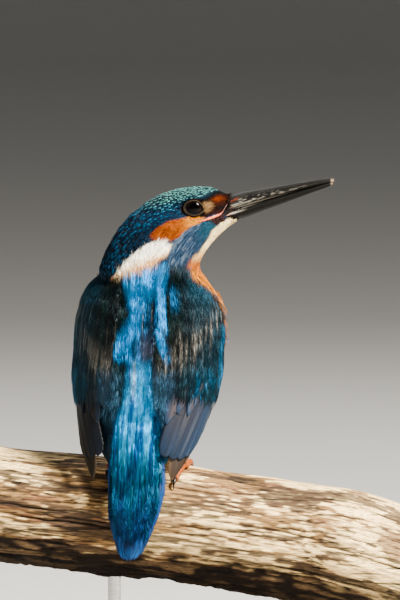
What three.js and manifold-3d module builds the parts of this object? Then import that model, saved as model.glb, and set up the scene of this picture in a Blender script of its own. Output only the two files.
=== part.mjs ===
// A life-size common kingfisher perched on a short weathered branch, held over a flat display base.
// Millimetres, +Z up. The bird's trunk faces +Y, and its head is turned to its right, towards +X.
// The part's origin is the centre of the base's underside. The bird is laid out from the top of
// the branch beneath it, and the whole is then lifted to its height over the base.
import * as THREE from "three";
import { mergeVertices } from "three/addons/utils/BufferGeometryUtils.js";
import Module from "manifold-3d";

const wasm = await Module();
wasm.setup();

// ---------------------------------------------------------------- driving sizes
const GAP = 0.3; // between pieces that meet
const HEAD_TURN = THREE.MathUtils.degToRad(78); // from straight ahead, to the bird's right
const HEAD_MIDDLE = 1; // how far the head's mid plane lies behind the trunk's upright axis
const EYE = { along: 15.6, up: 90.1, across: 9.9, radius: 3.6, opening: 2.9 };

const PERCH = { length: 163, middle: 25, radius: 21.2, fall: 0.08, bow: 0.00013, droop: 6.3e-6 };
const BASE = { length: 124, width: 84, height: 9, corner: 14, bevel: 1.5 };
const ROD = { radius: 2.4, apart: 62, sunk: 6 };
const BASE_MIDDLE = 18; // the base's centre, to the bird's right
const PERCH_TOP = 80; // the height that the bird stands at

const FOOT = { right: 13.6, left: -12.2, back: 5, toe: 1.15, clearance: 0.3 };

const COLOURS = {
  crown: 0x14506e, mantle: 0x1b78b8, covert: 0x123a48, flight: 0x45586c, primary: 0x3b3632,
  rump: 0x1f9ae0, tail: 0x123f7a, bill: 0x22201f, eye: 0x0c0706, leg: 0xd0552a, claw: 0x2a201c,
  branch: 0x9b8160, base: 0x5b3a22, rod: 0x8d8f92,
};

// ---------------------------------------------------------------- helpers
const vec = (x, y, z) => new THREE.Vector3(x, y, z);
const smooth = (a, b, x) => THREE.MathUtils.smoothstep(x, a, b);

// A closed mesh as a solid that can be joined and cut.
function solid(geometry) {
  const bare = geometry.index ? geometry.toNonIndexed() : geometry.clone();
  bare.deleteAttribute("normal");
  bare.deleteAttribute("uv");
  const merged = mergeVertices(bare, 1e-4);
  return new wasm.Manifold(new wasm.Mesh({
    numProp: 3,
    vertProperties: merged.attributes.position.array,
    triVerts: new Uint32Array(merged.index.array),
  }));
}

// A solid's surface as a geometry.
function surface(made) {
  const mesh = made.getMesh();
  const geometry = new THREE.BufferGeometry();
  geometry.setAttribute("position", new THREE.BufferAttribute(Float32Array.from(mesh.vertProperties), 3));
  geometry.setIndex(new THREE.BufferAttribute(Uint32Array.from(mesh.triVerts), 1));
  geometry.computeVertexNormals();
  return geometry;
}

// The largest body of a solid, without the slivers that a cut can leave.
function largest(made) {
  return made.decompose().reduce((a, b) => (b.volume() > a.volume() ? b : a));
}

// Moves every corner of a geometry to place(corner).
function carried(geometry, place) {
  const spots = geometry.attributes.position;
  const corner = new THREE.Vector3();
  for (let i = 0; i < spots.count; i++) {
    corner.fromBufferAttribute(spots, i);
    const moved = place(corner);
    spots.setXYZ(i, moved.x, moved.y, moved.z);
  }
  return geometry;
}

// A closed loft: the rings of a capped cylinder, carried onto oval sections along a smooth spine.
// Each station gives its centre, the way to the back of its section, and its half sizes to the
// side, the back and the front. pinch narrows the back and widens the front. grow swells it all.
function loft(stations, { around = 32, along = 20, grow = 0, pinch = 0 }) {
  const curve = (pick) => new THREE.CatmullRomCurve3(stations.map(pick));
  const spine = curve((s) => s.at);
  const ways = curve((s) => s.way);
  const sizes = curve((s) => vec(s.side, s.back, s.front));
  const rings = new THREE.CylinderGeometry(1, 1, 1, around, along);
  return solid(carried(rings, (corner) => {
    const t = corner.y + 0.5;
    const tangent = spine.getTangent(t);
    const way = ways.getPoint(t).normalize();
    const side = new THREE.Vector3().crossVectors(tangent, way).normalize();
    const size = sizes.getPoint(t);
    const height = corner.z * ((corner.z > 0 ? size.y : size.z) + grow);
    const width = corner.x * (size.x + grow) * (1 - pinch * corner.z);
    const end = t < 1e-6 ? -grow : t > 1 - 1e-6 ? grow : 0;
    return spine.getPoint(t).addScaledVector(tangent, end).addScaledVector(way, height)
      .addScaledVector(side, width);
  }));
}

// A level section of the trunk: its back lies towards -Y.
const level = (x, y, z, side, back, front = back) => ({ at: vec(x, y, z), way: vec(0, -1, 0), side, back, front });

// A flat outline through points, extruded.
function prism(points, depth) {
  const outline = new THREE.Shape(points.map(([a, b]) => new THREE.Vector2(a, b)));
  return new THREE.ExtrudeGeometry(outline, { depth, bevelEnabled: false });
}

// A smooth line through points, as more points.
function smoothLine(points, steps = 2) {
  const line = new THREE.SplineCurve(points.map(([a, b]) => new THREE.Vector2(a, b)));
  return line.getPoints(steps * (points.length - 1)).map((p) => [p.x, p.y]);
}

// ---------------------------------------------------------------- trunk
// The trunk in its plumage, without the wings, from the vent up to inside the neck.
function trunkShape(grow = 0) {
  return loft([
    level(0, -19.5, -8, 3.2, 2.6, 2),
    level(0, -18, -3, 7.6, 5.2, 4.6),
    level(0, -15.8, 2, 12.6, 7.8, 9.6),
    level(0, -13.6, 7, 16, 9.8, 14.4),
    level(0, -9, 16, 20, 14.6, 18.8),
    level(0, -3, 29, 22.8, 19.6, 21.5),
    level(0, 0.5, 43, 25.2, 20.8, 23.6),
    level(0.4, 1.6, 54, 24.4, 19, 22),
    level(1, 2, 62.5, 20.8, 15.8, 18.2),
    level(1.4, 2, 69, 15, 11, 12),
    level(1.4, 2, 72, 9, 7, 7),
  ], { around: 26, along: 13, grow });
}

// ---------------------------------------------------------------- head and neck
// The head lies in one upright plane, turned from the trunk's. (along, up) is a place in that
// plane: along runs level, the way the bill points, from the trunk's middle.
const faceWay = vec(Math.sin(HEAD_TURN), Math.cos(HEAD_TURN), 0);
const leftWay = vec(-Math.cos(HEAD_TURN), Math.sin(HEAD_TURN), 0); // to the head's own left
const inHead = (along, up, left = 0) => faceWay.clone().multiplyScalar(along)
  .addScaledVector(leftWay, left - HEAD_MIDDLE).add(vec(0, 0, up));

// A section of the head from its top outline to its bottom outline.
function across([topAlong, topUp], [lowAlong, lowUp], side, share = 0.5) {
  const top = inHead(topAlong, topUp);
  const low = inHead(lowAlong, lowUp);
  const height = top.distanceTo(low);
  const way = top.clone().sub(low).normalize();
  return { at: top.clone().lerp(low, share), way, side, back: height * share, front: height * (1 - share) };
}

// Head and neck, from inside the trunk over the nape to the bill's base.
function hoodShape(grow = 0) {
  return loft([
    across([-14, 55], [15, 55], 12),
    across([-17, 61], [17, 61.5], 14.4),
    across([-18.8, 67], [18.2, 66.8], 16),
    across([-17.2, 72.3], [18.4, 70.4], 15.6),
    across([-14, 79], [19.4, 72.8], 14.8),
    across([-8.8, 86.3], [21, 75.4], 13.4),
    across([-2, 92.2], [23.3, 78.4], 12),
    across([6, 96], [26, 81.1], 10.4),
    across([14.2, 97.6], [28.6, 83.2], 8.8),
    across([20.8, 97.5], [30.8, 84.9], 6.9),
    across([25.6, 95.9], [32.4, 86], 5.1),
    across([28.8, 94.2], [33.1, 86.5], 3.7),
    across([30.4, 92.6], [33, 87.8], 2.2),
  ], { around: 24, along: 16, grow });
}

function upperBill(grow = 0) {
  return loft([
    across([23, 92.4], [23.4, 87.4], 4.2),
    across([28, 94.1], [28.4, 88.9], 4.6),
    across([33, 95.4], [33.4, 90.4], 4.1),
    across([39.8, 96.6], [39.8, 92.4], 3.3),
    across([49.5, 98.3], [49.5, 95.1], 2.3),
    across([58, 99.6], [58, 97.4], 1.4),
    across([62.5, 100.1], [62.5, 98.5], 0.8),
    across([64.4, 100], [64.4, 98.9], 0.45),
  ], { around: 12, along: 9, grow, pinch: 0.3 });
}

function lowerBill(grow = 0) {
  return loft([
    across([23.4, 87.2], [25.4, 84.4], 4),
    across([28.4, 88.8], [29.6, 85.3], 4.4),
    across([33.4, 90.3], [34, 86.6], 3.9),
    across([39.8, 92.3], [39.8, 88.8], 3.1),
    across([49.5, 95], [49.5, 92.4], 2.15),
    across([58, 97.3], [58, 95.6], 1.3),
    across([62.2, 98.4], [62.2, 97.2], 0.7),
    across([64, 98.8], [64, 98.1], 0.35),
  ], { around: 12, along: 9, grow, pinch: -0.25 });
}

// An eyeball whose cap shows in the side of the head. left is 1 or -1.
function eyeball(left, grow = 0) {
  const sunk = Math.sqrt(EYE.radius ** 2 - EYE.opening ** 2);
  const ball = new THREE.SphereGeometry(EYE.radius + grow, 12, 8);
  return solid(ball.translate(...inHead(EYE.along, EYE.up, left * (EYE.across - sunk))));
}

// ---------------------------------------------------------------- wings
// The outline of the trunk and the folded wings together. The wings are shells of it.
function wingedShape(grow = 0) {
  return loft([
    level(0, -24, -15, 14, 3, 3),
    level(0, -21.5, -6, 17.4, 6, 6),
    level(0, -16.5, 5, 20.8, 11, 13),
    level(0, -10, 16, 23.7, 16.2, 19),
    level(-0.2, -3.5, 29, 26, 21.4, 23),
    level(-0.3, 0, 43, 27.5, 22.8, 24.5),
    level(0.2, 1, 54, 26.6, 21, 22.5),
    level(0.9, 1.6, 62.5, 22.8, 17.2, 18.6),
    level(1.3, 2, 69, 16.4, 11.5, 12.5),
    level(1.4, 2, 72, 10, 7, 7),
  ], { around: 26, along: 13, grow });
}

const HALF_ROOM = 50; // wider than half the bird

// All that lies outwards of a line [x, z] seen from behind, on the bird's right.
function outwards(line) {
  const points = [...smoothLine(line), [HALF_ROOM, line.at(-1)[1]], [HALF_ROOM, line[0][1]]];
  return solid(prism(points, 2 * HALF_ROOM).rotateX(Math.PI / 2).translate(0, HALF_ROOM, 0));
}

// All that lies behind a line [y, z] seen from the side.
function behind(line) {
  const points = [...smoothLine(line), [-HALF_ROOM, line.at(-1)[1]], [-HALF_ROOM, line[0][1]]];
  return solid(carried(prism(points, HALF_ROOM), (corner) => vec(corner.z, corner.x, corner.y)));
}

// The folded wing's lower edge, from the shoulder down to the tip, seen from the side.
const WING_FRONT = [[3, 70], [7, 58], [6, 48], [5, 38], [2, 26], [-5, 15], [-13, 6], [-19, -1], [-24, -12]];

// ---------------------------------------------------------------- tail
// The closed tail: a plate with a rounded end that hangs down behind the branch.
function tailShape(grow = 0) {
  return loft([
    level(0.6, -19.5, 14, 7, 1.2),
    level(1.2, -22.6, 4, 9.8, 1.3),
    level(1.9, -24.9, -7, 10.8, 1.3),
    level(1.1, -26.4, -17, 8.8, 1.2),
    level(0.7, -27.3, -25, 6.6, 1.05),
    level(0.4, -27.7, -29.4, 4.4, 0.9),
    level(0.3, -27.9, -31.4, 1.6, 0.6),
  ], { around: 14, along: 9, grow });
}

// The long upper coverts, from the rump over most of the tail.
function upperCoverts(grow = 0) {
  return loft([
    level(0, -20.4, 27, 2.6, 1.2),
    level(0.2, -22, 21, 6, 2.2),
    level(0.5, -24.2, 10, 8.6, 2.6),
    level(1, -26.7, -2, 8.6, 2),
    level(1, -28.4, -13, 6.6, 1.3),
    level(0.8, -29.2, -20, 3.8, 0.8),
    level(0.7, -29.5, -23.5, 1.4, 0.5),
  ], { around: 12, along: 8, grow });
}

// The wedge of lower coverts between the tail and the branch.
function lowerCoverts() {
  return loft([
    level(0.6, -19, 0, 6, 2.4),
    level(0.9, -21.9, -8, 6.6, 1.6, 1.4),
    level(1, -24, -15, 5, 0.9, 0.8),
    level(0.9, -25, -20, 2.2, 0.5),
  ], { around: 12, along: 6 });
}

// ---------------------------------------------------------------- branch
// The height of the branch's axis under the top of it below the bird.
const branchAxis = (x) => -PERCH.radius - PERCH.fall * x - PERCH.bow * x ** 2 - PERCH.droop * x ** 3;

// How far the branch's surface stands from its axis. The angle runs from the top, over the
// bird's front, to the underside: ribs, soft bumps, a low knot and a rotten strip.
function branchRadius(x, angle) {
  const ribs = 0.3 * Math.sin(5 * angle + 0.02 * x + 1.1) + 0.2 * Math.sin(9 * angle - 0.035 * x);
  const bumps = 0.3 * Math.sin(0.075 * x + 2.2 * Math.cos(angle)) + 0.2 * Math.sin(0.17 * x + 3 * angle);
  const knot = 1.5 * Math.exp(-(((x - 74) / 12) ** 2)) * smooth(0.2, 1, Math.cos(angle + 0.9));
  const rotten = 1.4 * smooth(0.6, 0.95, -Math.cos(angle + 0.3)) * (0.6 + 0.4 * Math.sin(0.13 * x));
  return PERCH.radius + 0.006 * x + ribs + bumps + knot - rotten;
}

// A place over the branch's surface.
function onBranch(x, angle, lift) {
  const radius = branchRadius(x, angle) + lift;
  return vec(x, Math.sin(angle) * radius, branchAxis(x) + Math.cos(angle) * radius);
}

function branchShape() {
  const log = new THREE.CylinderGeometry(1, 1, 1, 26, 15);
  return solid(carried(log, (corner) => {
    const x = PERCH.middle + corner.y * PERCH.length;
    const out = Math.hypot(corner.x, corner.z);
    const spot = onBranch(x, Math.atan2(-corner.x, corner.z), 0);
    return vec(x, 0, branchAxis(x)).lerp(spot, out);
  }));
}

// ---------------------------------------------------------------- feet
// Each toe: its places to the side, its arc over the branch in degrees from the foot's middle,
// forwards, and its thickness.
const TOES = [
  { name: "outer", from: 1, to: -0.6, end: 33, thick: 0.95 },
  { name: "middle", from: -0.4, to: -2.8, end: 38, thick: 1 },
  { name: "inner", from: -1.6, to: -5.2, end: 24, thick: 0.9 },
  { name: "hind", from: 0, to: -0.6, end: -24, thick: 1 },
];
const CLAW_ARC = 11; // degrees of the branch that a claw spans
const footAngle = -FOOT.back / PERCH.radius;

function overBranch(foot, toe, turn, lift) {
  const share = turn / toe.end;
  const x = foot.x + foot.side * THREE.MathUtils.lerp(toe.from, toe.to, share);
  return onBranch(x, footAngle + THREE.MathUtils.degToRad(turn), lift);
}

const UPWARDS = vec(0, 0, 1);
const round = (at, size) => ({ at, way: UPWARDS, side: size, back: size, front: size });

// A toe with its pads, lying on the branch.
function toeShape(foot, toe) {
  const shares = [0, 0.1, 0.3, 0.5, 0.7, 0.9, 1];
  const stations = shares.map((share) => {
    const pad = 1 + 0.1 * Math.cos(share * Math.PI * 6) - 0.2 * share;
    const size = FOOT.toe * toe.thick * pad * (share === 0 || share === 1 ? 0.65 : 1);
    return round(overBranch(foot, toe, share * toe.end, size + FOOT.clearance), size);
  });
  return loft(stations, { around: 6, along: 5 });
}

// A claw that curves from its toe's end down to the branch.
function clawShape(foot, toe) {
  const way = Math.sign(toe.end);
  const stations = [0, 0.25, 0.5, 0.75, 1].map((share) => {
    const size = FOOT.toe * 0.6 * toe.thick * (1 - 0.75 * share);
    const lift = GAP + size + 1.2 * Math.sin(Math.PI * (0.2 + 0.8 * share));
    return round(overBranch(foot, toe, toe.end + way * CLAW_ARC * (share - 0.08), lift), size);
  });
  return loft(stations, { around: 5, along: 4 });
}

// The short bare leg, from the belly down to the foot.
function shankShape(foot) {
  const ankle = onBranch(foot.x, footAngle, FOOT.toe + FOOT.clearance);
  const knee = vec(foot.x - foot.side * 1.5, ankle.y - 4, 13);
  const sizes = [[0, 1.1], [0.1, 1.5], [0.5, 1.25], [0.85, 1.5], [1, 1.7]];
  const stations = sizes.map(([share, size]) => ({
    at: ankle.clone().lerp(knee, share), way: vec(0, -1, 0), side: size, back: size, front: size,
  }));
  return loft(stations, { around: 8, along: 4 });
}

// ---------------------------------------------------------------- stand
function baseShape() {
  const { length, width, height, corner, bevel } = BASE;
  const [x, y] = [length / 2 - bevel, width / 2 - bevel];
  const quarter = Math.PI / 2;
  const outline = new THREE.Shape();
  outline.absarc(x - corner, -y + corner, corner, -quarter, 0);
  outline.absarc(x - corner, y - corner, corner, 0, quarter);
  outline.absarc(-x + corner, y - corner, corner, quarter, 2 * quarter);
  outline.absarc(-x + corner, -y + corner, corner, 2 * quarter, 3 * quarter);
  const plate = new THREE.ExtrudeGeometry(outline, {
    depth: height - 2 * bevel, bevelSize: bevel, bevelThickness: bevel, bevelSegments: 2, curveSegments: 4,
  });
  return solid(plate.translate(BASE_MIDDLE, 0, bevel - PERCH_TOP));
}

function rodShape(x, grow = 0) {
  const foot = BASE.height - ROD.sunk - PERCH_TOP;
  const top = onBranch(x, Math.PI, 0).z + ROD.sunk;
  const rod = new THREE.CylinderGeometry(ROD.radius + grow, ROD.radius + grow, top - foot + 2 * grow, 12);
  return solid(rod.rotateX(Math.PI / 2).translate(x, 0, (top + foot) / 2));
}

// ---------------------------------------------------------------- assembly
const model = new THREE.Group();
model.position.set(-BASE_MIDDLE, 0, PERCH_TOP);

function add(name, made, colour, roughness, metalness = 0) {
  const finish = new THREE.MeshStandardMaterial({ color: colour, roughness, metalness });
  const mesh = new THREE.Mesh(surface(largest(made)), finish);
  mesh.name = name;
  model.add(mesh);
}

const joined = (solids) => solids.reduce((all, one) => all.add(one));
const HANDS = [["right", 1], ["left", -1]];
const sided = (made, side) => (side > 0 ? made : made.mirror([1, 0, 0]));

// Parts a solid at a spot, square to a way: the piece on that side first.
function parted(made, spot, way) {
  const normal = way.clone().normalize();
  const middle = normal.dot(spot);
  const ahead = made.trimByPlane(normal.toArray(), middle + GAP / 2);
  const rest = made.trimByPlane(normal.negate().toArray(), GAP / 2 - middle);
  return [ahead, rest];
}

// The head's and neck's sockets for the bill and the eyes.
const sockets = joined([upperBill(GAP), lowerBill(GAP), ...HANDS.map(([, side]) => eyeball(-side, GAP))]);

// Trunk, neck and head are one shape, parted by thin cuts.
const body = trunkShape().add(hoodShape());
const [hood, trunk] = parted(body, vec(0, 0, 67.6), vec(-0.04, 0, 1));
const [head, neck] = parted(hood, inHead(6, 79), faceWay.clone().multiplyScalar(0.62).add(vec(0, 0, 0.78)));
const tailRoom = joined([tailShape(GAP), upperCoverts(GAP)]);

add("head", head.subtract(sockets), COLOURS.crown, 0.6);
add("neck", neck, COLOURS.crown, 0.6);

add("bill_upper", upperBill(), COLOURS.bill, 0.35);
add("bill_lower", lowerBill().subtract(upperBill(GAP)), COLOURS.bill, 0.35);
HANDS.forEach(([hand, side]) => add(`eye_${hand}`, eyeball(-side), COLOURS.eye, 0.08));

// Wings: the coverts end in rounded lobes over the secondaries, which end over the primaries.
const coverEdge = [[6.4, 70], [6.2, 47], [5.6, 33], [5.4, 27], [6.8, 22.4], [10, 20.2], [16, 19.4], [26, 22]];
const flightEdge = [[8.4, 29], [9.4, 21], [10.6, 13], [11.2, 7.6], [12.6, 4.4], [16, 3.2], [22, 5], [28, 12]];
const tipEdge = [[12, 13], [12.8, 4], [13.6, -1.6], [14.9, -4.9], [16.4, -4], [18, -1.4], [24, 7]];
const overTail = upperCoverts(GAP);
const bodyRoom = joined([trunkShape(GAP), hoodShape(GAP), overTail]);
const wingShell = (inset, thick) => wingedShape(-inset).subtract(wingedShape(-inset - thick))
  .subtract(bodyRoom);
const [covertShell, flightShell, tipShell] = [wingShell(0, 3), wingShell(0.4, 1.8), wingShell(0.8, 1.2)];
HANDS.forEach(([hand, side]) => {
  const half = sided(behind(WING_FRONT), side);
  const [covered, flight, tip] = [coverEdge, flightEdge, tipEdge].map((edge) => sided(outwards(edge), side));
  const belowCoverts = covered.translate([0, 0, -GAP]);
  const belowFlight = flight.translate([0, 0, -GAP]);
  const secondaries = flightShell.intersect(half).intersect(flight).subtract(belowCoverts);
  const primaries = tipShell.intersect(half).intersect(tip).subtract(belowCoverts).subtract(belowFlight);
  add(`wing_${hand}_coverts`, covertShell.intersect(half).intersect(covered), COLOURS.covert, 0.6);
  add(`wing_${hand}_secondaries`, secondaries, COLOURS.flight, 0.5);
  add(`wing_${hand}_primaries`, primaries, COLOURS.primary, 0.5);
});

// Tail, with the coverts above and below it.
const tail = tailShape().subtract(overTail);
const under = lowerCoverts().subtract(joined([trunkShape(GAP), tailShape(GAP)]));
add("tail_feathers", tail, COLOURS.tail, 0.5);
add("tail_coverts_upper", upperCoverts(), COLOURS.rump, 0.5);
add("tail_coverts_lower", under, COLOURS.leg, 0.6);

// Legs and claws.
const feet = [{ hand: "right", side: 1, x: FOOT.right }, { hand: "left", side: -1, x: FOOT.left }];
const legs = feet.map((foot) => joined([shankShape(foot), ...TOES.map((toe) => toeShape(foot, toe))]));
const clawRoom = feet.map((foot) => joined(TOES.map((toe) => clawShape(foot, toe))));
feet.forEach((foot, i) => {
  add(`leg_${foot.hand}`, legs[i].subtract(clawRoom[i]), COLOURS.leg, 0.5);
  TOES.forEach((toe) => add(`claw_${foot.hand}_${toe.name}`, clawShape(foot, toe), COLOURS.claw, 0.4));
});
add("trunk", trunk.subtract(tailRoom).subtract(joined(legs)), COLOURS.mantle, 0.6);

// Branch and stand.
const rodPlaces = [-1, 1].map((side) => BASE_MIDDLE + side * ROD.apart / 2);
const rodRoom = joined(rodPlaces.map((x) => rodShape(x, GAP)));
add("perch", branchShape().subtract(rodRoom), COLOURS.branch, 0.85);
add("stand_base", baseShape().subtract(rodRoom), COLOURS.base, 0.45);
rodPlaces.forEach((x, i) => add(`stand_rod_${i ? "right" : "left"}`, rodShape(x), COLOURS.rod, 0.3, 0.9));

export default model;
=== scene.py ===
"""A life-size common kingfisher on a short cut length of weathered branch: the looks, built round the
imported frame. Shapes are worked out in millimetres from the bird's own origin, the top of the branch
below it, with x to the bird's right, y the way its trunk faces and z up, and then placed in metres."""
import itertools
import math

import bmesh
import bpy
import numpy as np
from mathutils import Matrix, Vector
from mathutils.bvhtree import BVHTree


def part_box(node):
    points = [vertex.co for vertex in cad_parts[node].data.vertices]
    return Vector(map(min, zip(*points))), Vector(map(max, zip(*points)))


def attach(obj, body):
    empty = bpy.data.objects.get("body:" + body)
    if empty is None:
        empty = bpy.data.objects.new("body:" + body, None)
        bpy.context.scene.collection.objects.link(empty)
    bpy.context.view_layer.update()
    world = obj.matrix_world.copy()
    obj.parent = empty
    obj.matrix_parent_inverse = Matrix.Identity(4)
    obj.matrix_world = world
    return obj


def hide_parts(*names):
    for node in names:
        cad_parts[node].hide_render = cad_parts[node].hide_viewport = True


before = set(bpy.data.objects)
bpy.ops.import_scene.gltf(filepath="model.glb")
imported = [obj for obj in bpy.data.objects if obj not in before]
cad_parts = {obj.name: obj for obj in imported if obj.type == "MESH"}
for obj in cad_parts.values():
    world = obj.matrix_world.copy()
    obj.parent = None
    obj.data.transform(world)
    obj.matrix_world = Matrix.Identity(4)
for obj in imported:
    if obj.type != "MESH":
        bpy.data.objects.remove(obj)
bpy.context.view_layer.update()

MM = 0.001
BODY = "root"


# ---------------------------------------------------------------- places taken from the frame
def middle(node):
    """The centre of a node's box, in metres."""
    low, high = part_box(node)
    return (low + high) / 2


VENT_BELOW_CREST = 8 * MM  # how far the trunk reaches below the top of the branch
HOME = Vector((middle("trunk").x, 0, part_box("trunk")[0].z + VENT_BELOW_CREST))
HEAD_LEFT = (middle("eye_left") - middle("eye_right")).normalized()
HEAD_FRONT = HEAD_LEFT.cross(Vector((0, 0, 1)))
HEAD_SET_BACK = 1.0  # the head's mid plane lies this far behind the trunk's upright axis
EYE_ALONG = (middle("eye_left") + middle("eye_right") - 2 * HOME).dot(HEAD_FRONT) / 2 / MM
EYE_UP = (middle("eye_left").z - HOME.z) / MM


def in_head(p):
    """Places along the head, up, and left of its mid plane, for bird places p."""
    left = p @ np.array(HEAD_LEFT) + HEAD_SET_BACK
    return p @ np.array(HEAD_FRONT), p[..., 2], left


def from_head(along, up, left=0.0):
    """The bird place that is so far along the head, up, and left of its mid plane."""
    along, up, left = np.broadcast_arrays(along, up, left)
    return (np.array(HEAD_FRONT) * along[..., None] + np.array(HEAD_LEFT) * (left[..., None] - HEAD_SET_BACK)
            + np.array((0.0, 0.0, 1.0)) * up[..., None])


# ---------------------------------------------------------------- number helpers
def unit(v):
    return v / np.maximum(np.linalg.norm(v, axis=-1, keepdims=True), 1e-9)


def dot(a, b):
    return (a * b).sum(-1)


def step(low, high, x):
    """Rises smoothly from 0 at low to 1 at high."""
    t = np.clip((x - low) / (high - low), 0, 1)
    return t * t * (3 - 2 * t)


def mix(a, b, share):
    return a + (b - a) * share[..., None]


def along_line(line, z):
    """The value at z of a line of (z, value)."""
    z_line, values = zip(*line)
    return np.interp(z, z_line, values)


def grain(p, size, seed=0):
    """Smooth noise from -1 to 1 with features about size across, one size or one for each axis."""
    spot = p / np.array(size) + 37.7 * seed
    cell = np.floor(spot).astype(np.int64)
    inside = spot - cell
    inside = inside * inside * (3 - 2 * inside)
    total = np.zeros(len(p))
    for corner in itertools.product((0, 1), repeat=3):
        mixed = ((cell + corner) * (73856093, 19349663, 83492791)).sum(-1) & 0x7FFFFFFF
        mixed = ((mixed ^ (mixed >> 13)) * 1274126177) & 0x7FFFFFFF
        value = (mixed ^ (mixed >> 11)) / 0x3FFFFFFF - 1
        total += value * np.prod(np.where(corner, inside, 1 - inside), axis=-1)
    return total


def rgb(code):
    """A colour such as "1b86c4" as linear light."""
    parts = np.array([int(code[i:i + 2], 16) for i in (0, 2, 4)]) / 255
    return np.where(parts < 0.04045, parts / 12.92, ((parts + 0.055) / 1.055) ** 2.4)


def within(shape, x, y, edge):
    """How far inside a closed outline of points x, y are: 0 outside, 1 inside, soft over edge."""
    corners = np.array(shape, float)
    nearest = np.full(x.shape, 1e9)
    inside = np.zeros(x.shape, bool)
    for (ax, ay), (bx, by) in zip(corners, np.roll(corners, -1, axis=0)):
        dx, dy = bx - ax, by - ay
        t = np.clip(((x - ax) * dx + (y - ay) * dy) / (dx * dx + dy * dy), 0, 1)
        nearest = np.minimum(nearest, np.hypot(x - ax - t * dx, y - ay - t * dy))
        crosses = (ay > y) != (by > y)
        inside ^= crosses & (x < ax + (y - ay) * dx / (dy if dy else 1e-9))
    return step(-edge, edge, np.where(inside, nearest, -nearest))


# ---------------------------------------------------------------- mesh helpers
def to_world(p):
    return np.asarray(p) * MM + np.array(HOME)


def mesh_object(name, mesh, material=None):
    piece = bpy.data.objects.new(name, mesh)
    bpy.context.scene.collection.objects.link(piece)
    if material:
        mesh.materials.append(material)
    mesh.shade_smooth()
    return piece


def made_mesh(name, bm):
    """The mesh that a bmesh holds. The bmesh is freed."""
    mesh = bpy.data.meshes.new(name)
    bm.to_mesh(mesh)
    bm.free()
    return mesh


def mesh_from(name, corners, faces):
    """A mesh from bird places and faces that all have the same number of corners."""
    mesh = bpy.data.meshes.new(name)
    count, sides = faces.shape
    mesh.vertices.add(len(corners))
    mesh.vertices.foreach_set("co", to_world(corners).astype(np.float32).ravel())
    mesh.loops.add(count * sides)
    mesh.loops.foreach_set("vertex_index", faces.astype(np.int32).ravel())
    mesh.polygons.add(count)
    mesh.polygons.foreach_set("loop_start", np.arange(0, count * sides, sides, dtype=np.int32))
    mesh.update(calc_edges=True)
    return mesh


def raw_places(mesh):
    """A mesh's corners as they are stored."""
    spots = np.zeros(len(mesh.vertices) * 3, np.float32)
    mesh.vertices.foreach_get("co", spots)
    return spots.reshape(-1, 3).astype(float)


def places(mesh):
    """A mesh's corners as bird places."""
    return (raw_places(mesh) - np.array(HOME)) / MM


def set_places(mesh, spots):
    mesh.vertices.foreach_set("co", to_world(spots).astype(np.float32).ravel())
    mesh.update()


def corner_normals(mesh):
    normals = np.zeros(len(mesh.vertices) * 3, np.float32)
    mesh.vertex_normals.foreach_get("vector", normals)
    return normals.reshape(-1, 3).astype(float)


def paint(mesh, colours, name="tint"):
    """Stores one colour for each corner."""
    layer = mesh.attributes.new(name, "FLOAT_COLOR", "POINT")
    full = np.ones((len(colours), 4), np.float32)
    full[:, :3] = np.clip(colours, 0, 1)
    layer.data.foreach_set("color", full.ravel())


def finished(piece):
    """Replaces a piece's mesh with what its modifiers make of it."""
    bpy.context.view_layer.update()
    made = bpy.data.meshes.new_from_object(piece.evaluated_get(bpy.context.evaluated_depsgraph_get()))
    old = piece.data
    piece.modifiers.clear()
    piece.data = made
    bpy.data.meshes.remove(old)
    return piece


def rounded_copy(name, nodes, voxel):
    """One closed mesh over some nodes: their copies swollen, remeshed together and smoothed."""
    bm = bmesh.new()
    for node in nodes:
        bm.from_mesh(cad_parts[node].data)
    bmesh.ops.remove_doubles(bm, verts=bm.verts, dist=1e-6)
    bm.normal_update()
    moved = [v.co + v.normal * SWELL * MM for v in bm.verts]
    for v, spot in zip(bm.verts, moved):
        v.co = spot
    piece = mesh_object(name, made_mesh(name, bm))
    remesh = piece.modifiers.new("one surface", "REMESH")
    remesh.mode = "VOXEL"
    remesh.voxel_size = voxel * MM
    remesh.use_smooth_shade = True
    soften = piece.modifiers.new("soften", "SMOOTH")
    soften.factor = 0.5
    soften.iterations = 6
    return finished(piece)


# ---------------------------------------------------------------- materials
def new_material(name, roughness=0.5, **settings):
    """A material with its Principled shader. Settings name its sockets, with _ for a space."""
    material = bpy.data.materials.new(name)
    material.use_nodes = True
    shader = material.node_tree.nodes["Principled BSDF"]
    shader.inputs["Roughness"].default_value = roughness
    for socket, value in settings.items():
        shader.inputs[socket.replace("_", " ")].default_value = value
    return material, shader


def node(material, kind, **inputs):
    """Adds a shader node. Inputs are numbers, or sockets to link from."""
    made = material.node_tree.nodes.new(kind)
    for name, value in inputs.items():
        socket = made.inputs[name.replace("_", " ")]
        if isinstance(value, bpy.types.NodeSocket):
            material.node_tree.links.new(value, socket)
        else:
            socket.default_value = value
    return made


def link(material, source, target):
    material.node_tree.links.new(source, target)


def object_place(material, scale):
    """Object coordinates, stretched by scale."""
    texture = node(material, "ShaderNodeTexCoord")
    return node(material, "ShaderNodeMapping", Vector=texture.outputs["Object"], Scale=scale).outputs[0]


def noise_at(material, sizes, detail, distortion=0.0):
    """A noise's value over object coordinates, with features of those sizes in millimetres."""
    spot = object_place(material, tuple(1 / (size * MM) for size in sizes))
    return node(material, "ShaderNodeTexNoise", Vector=spot, Scale=1.0, Detail=detail,
                Distortion=distortion).outputs[0]


def ranged(material, value, start, to):
    """Carries a number socket from one range to another."""
    return node(material, "ShaderNodeMapRange", Value=value, From_Min=start[0], From_Max=start[1],
                To_Min=to[0], To_Max=to[1]).outputs[0]


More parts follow.
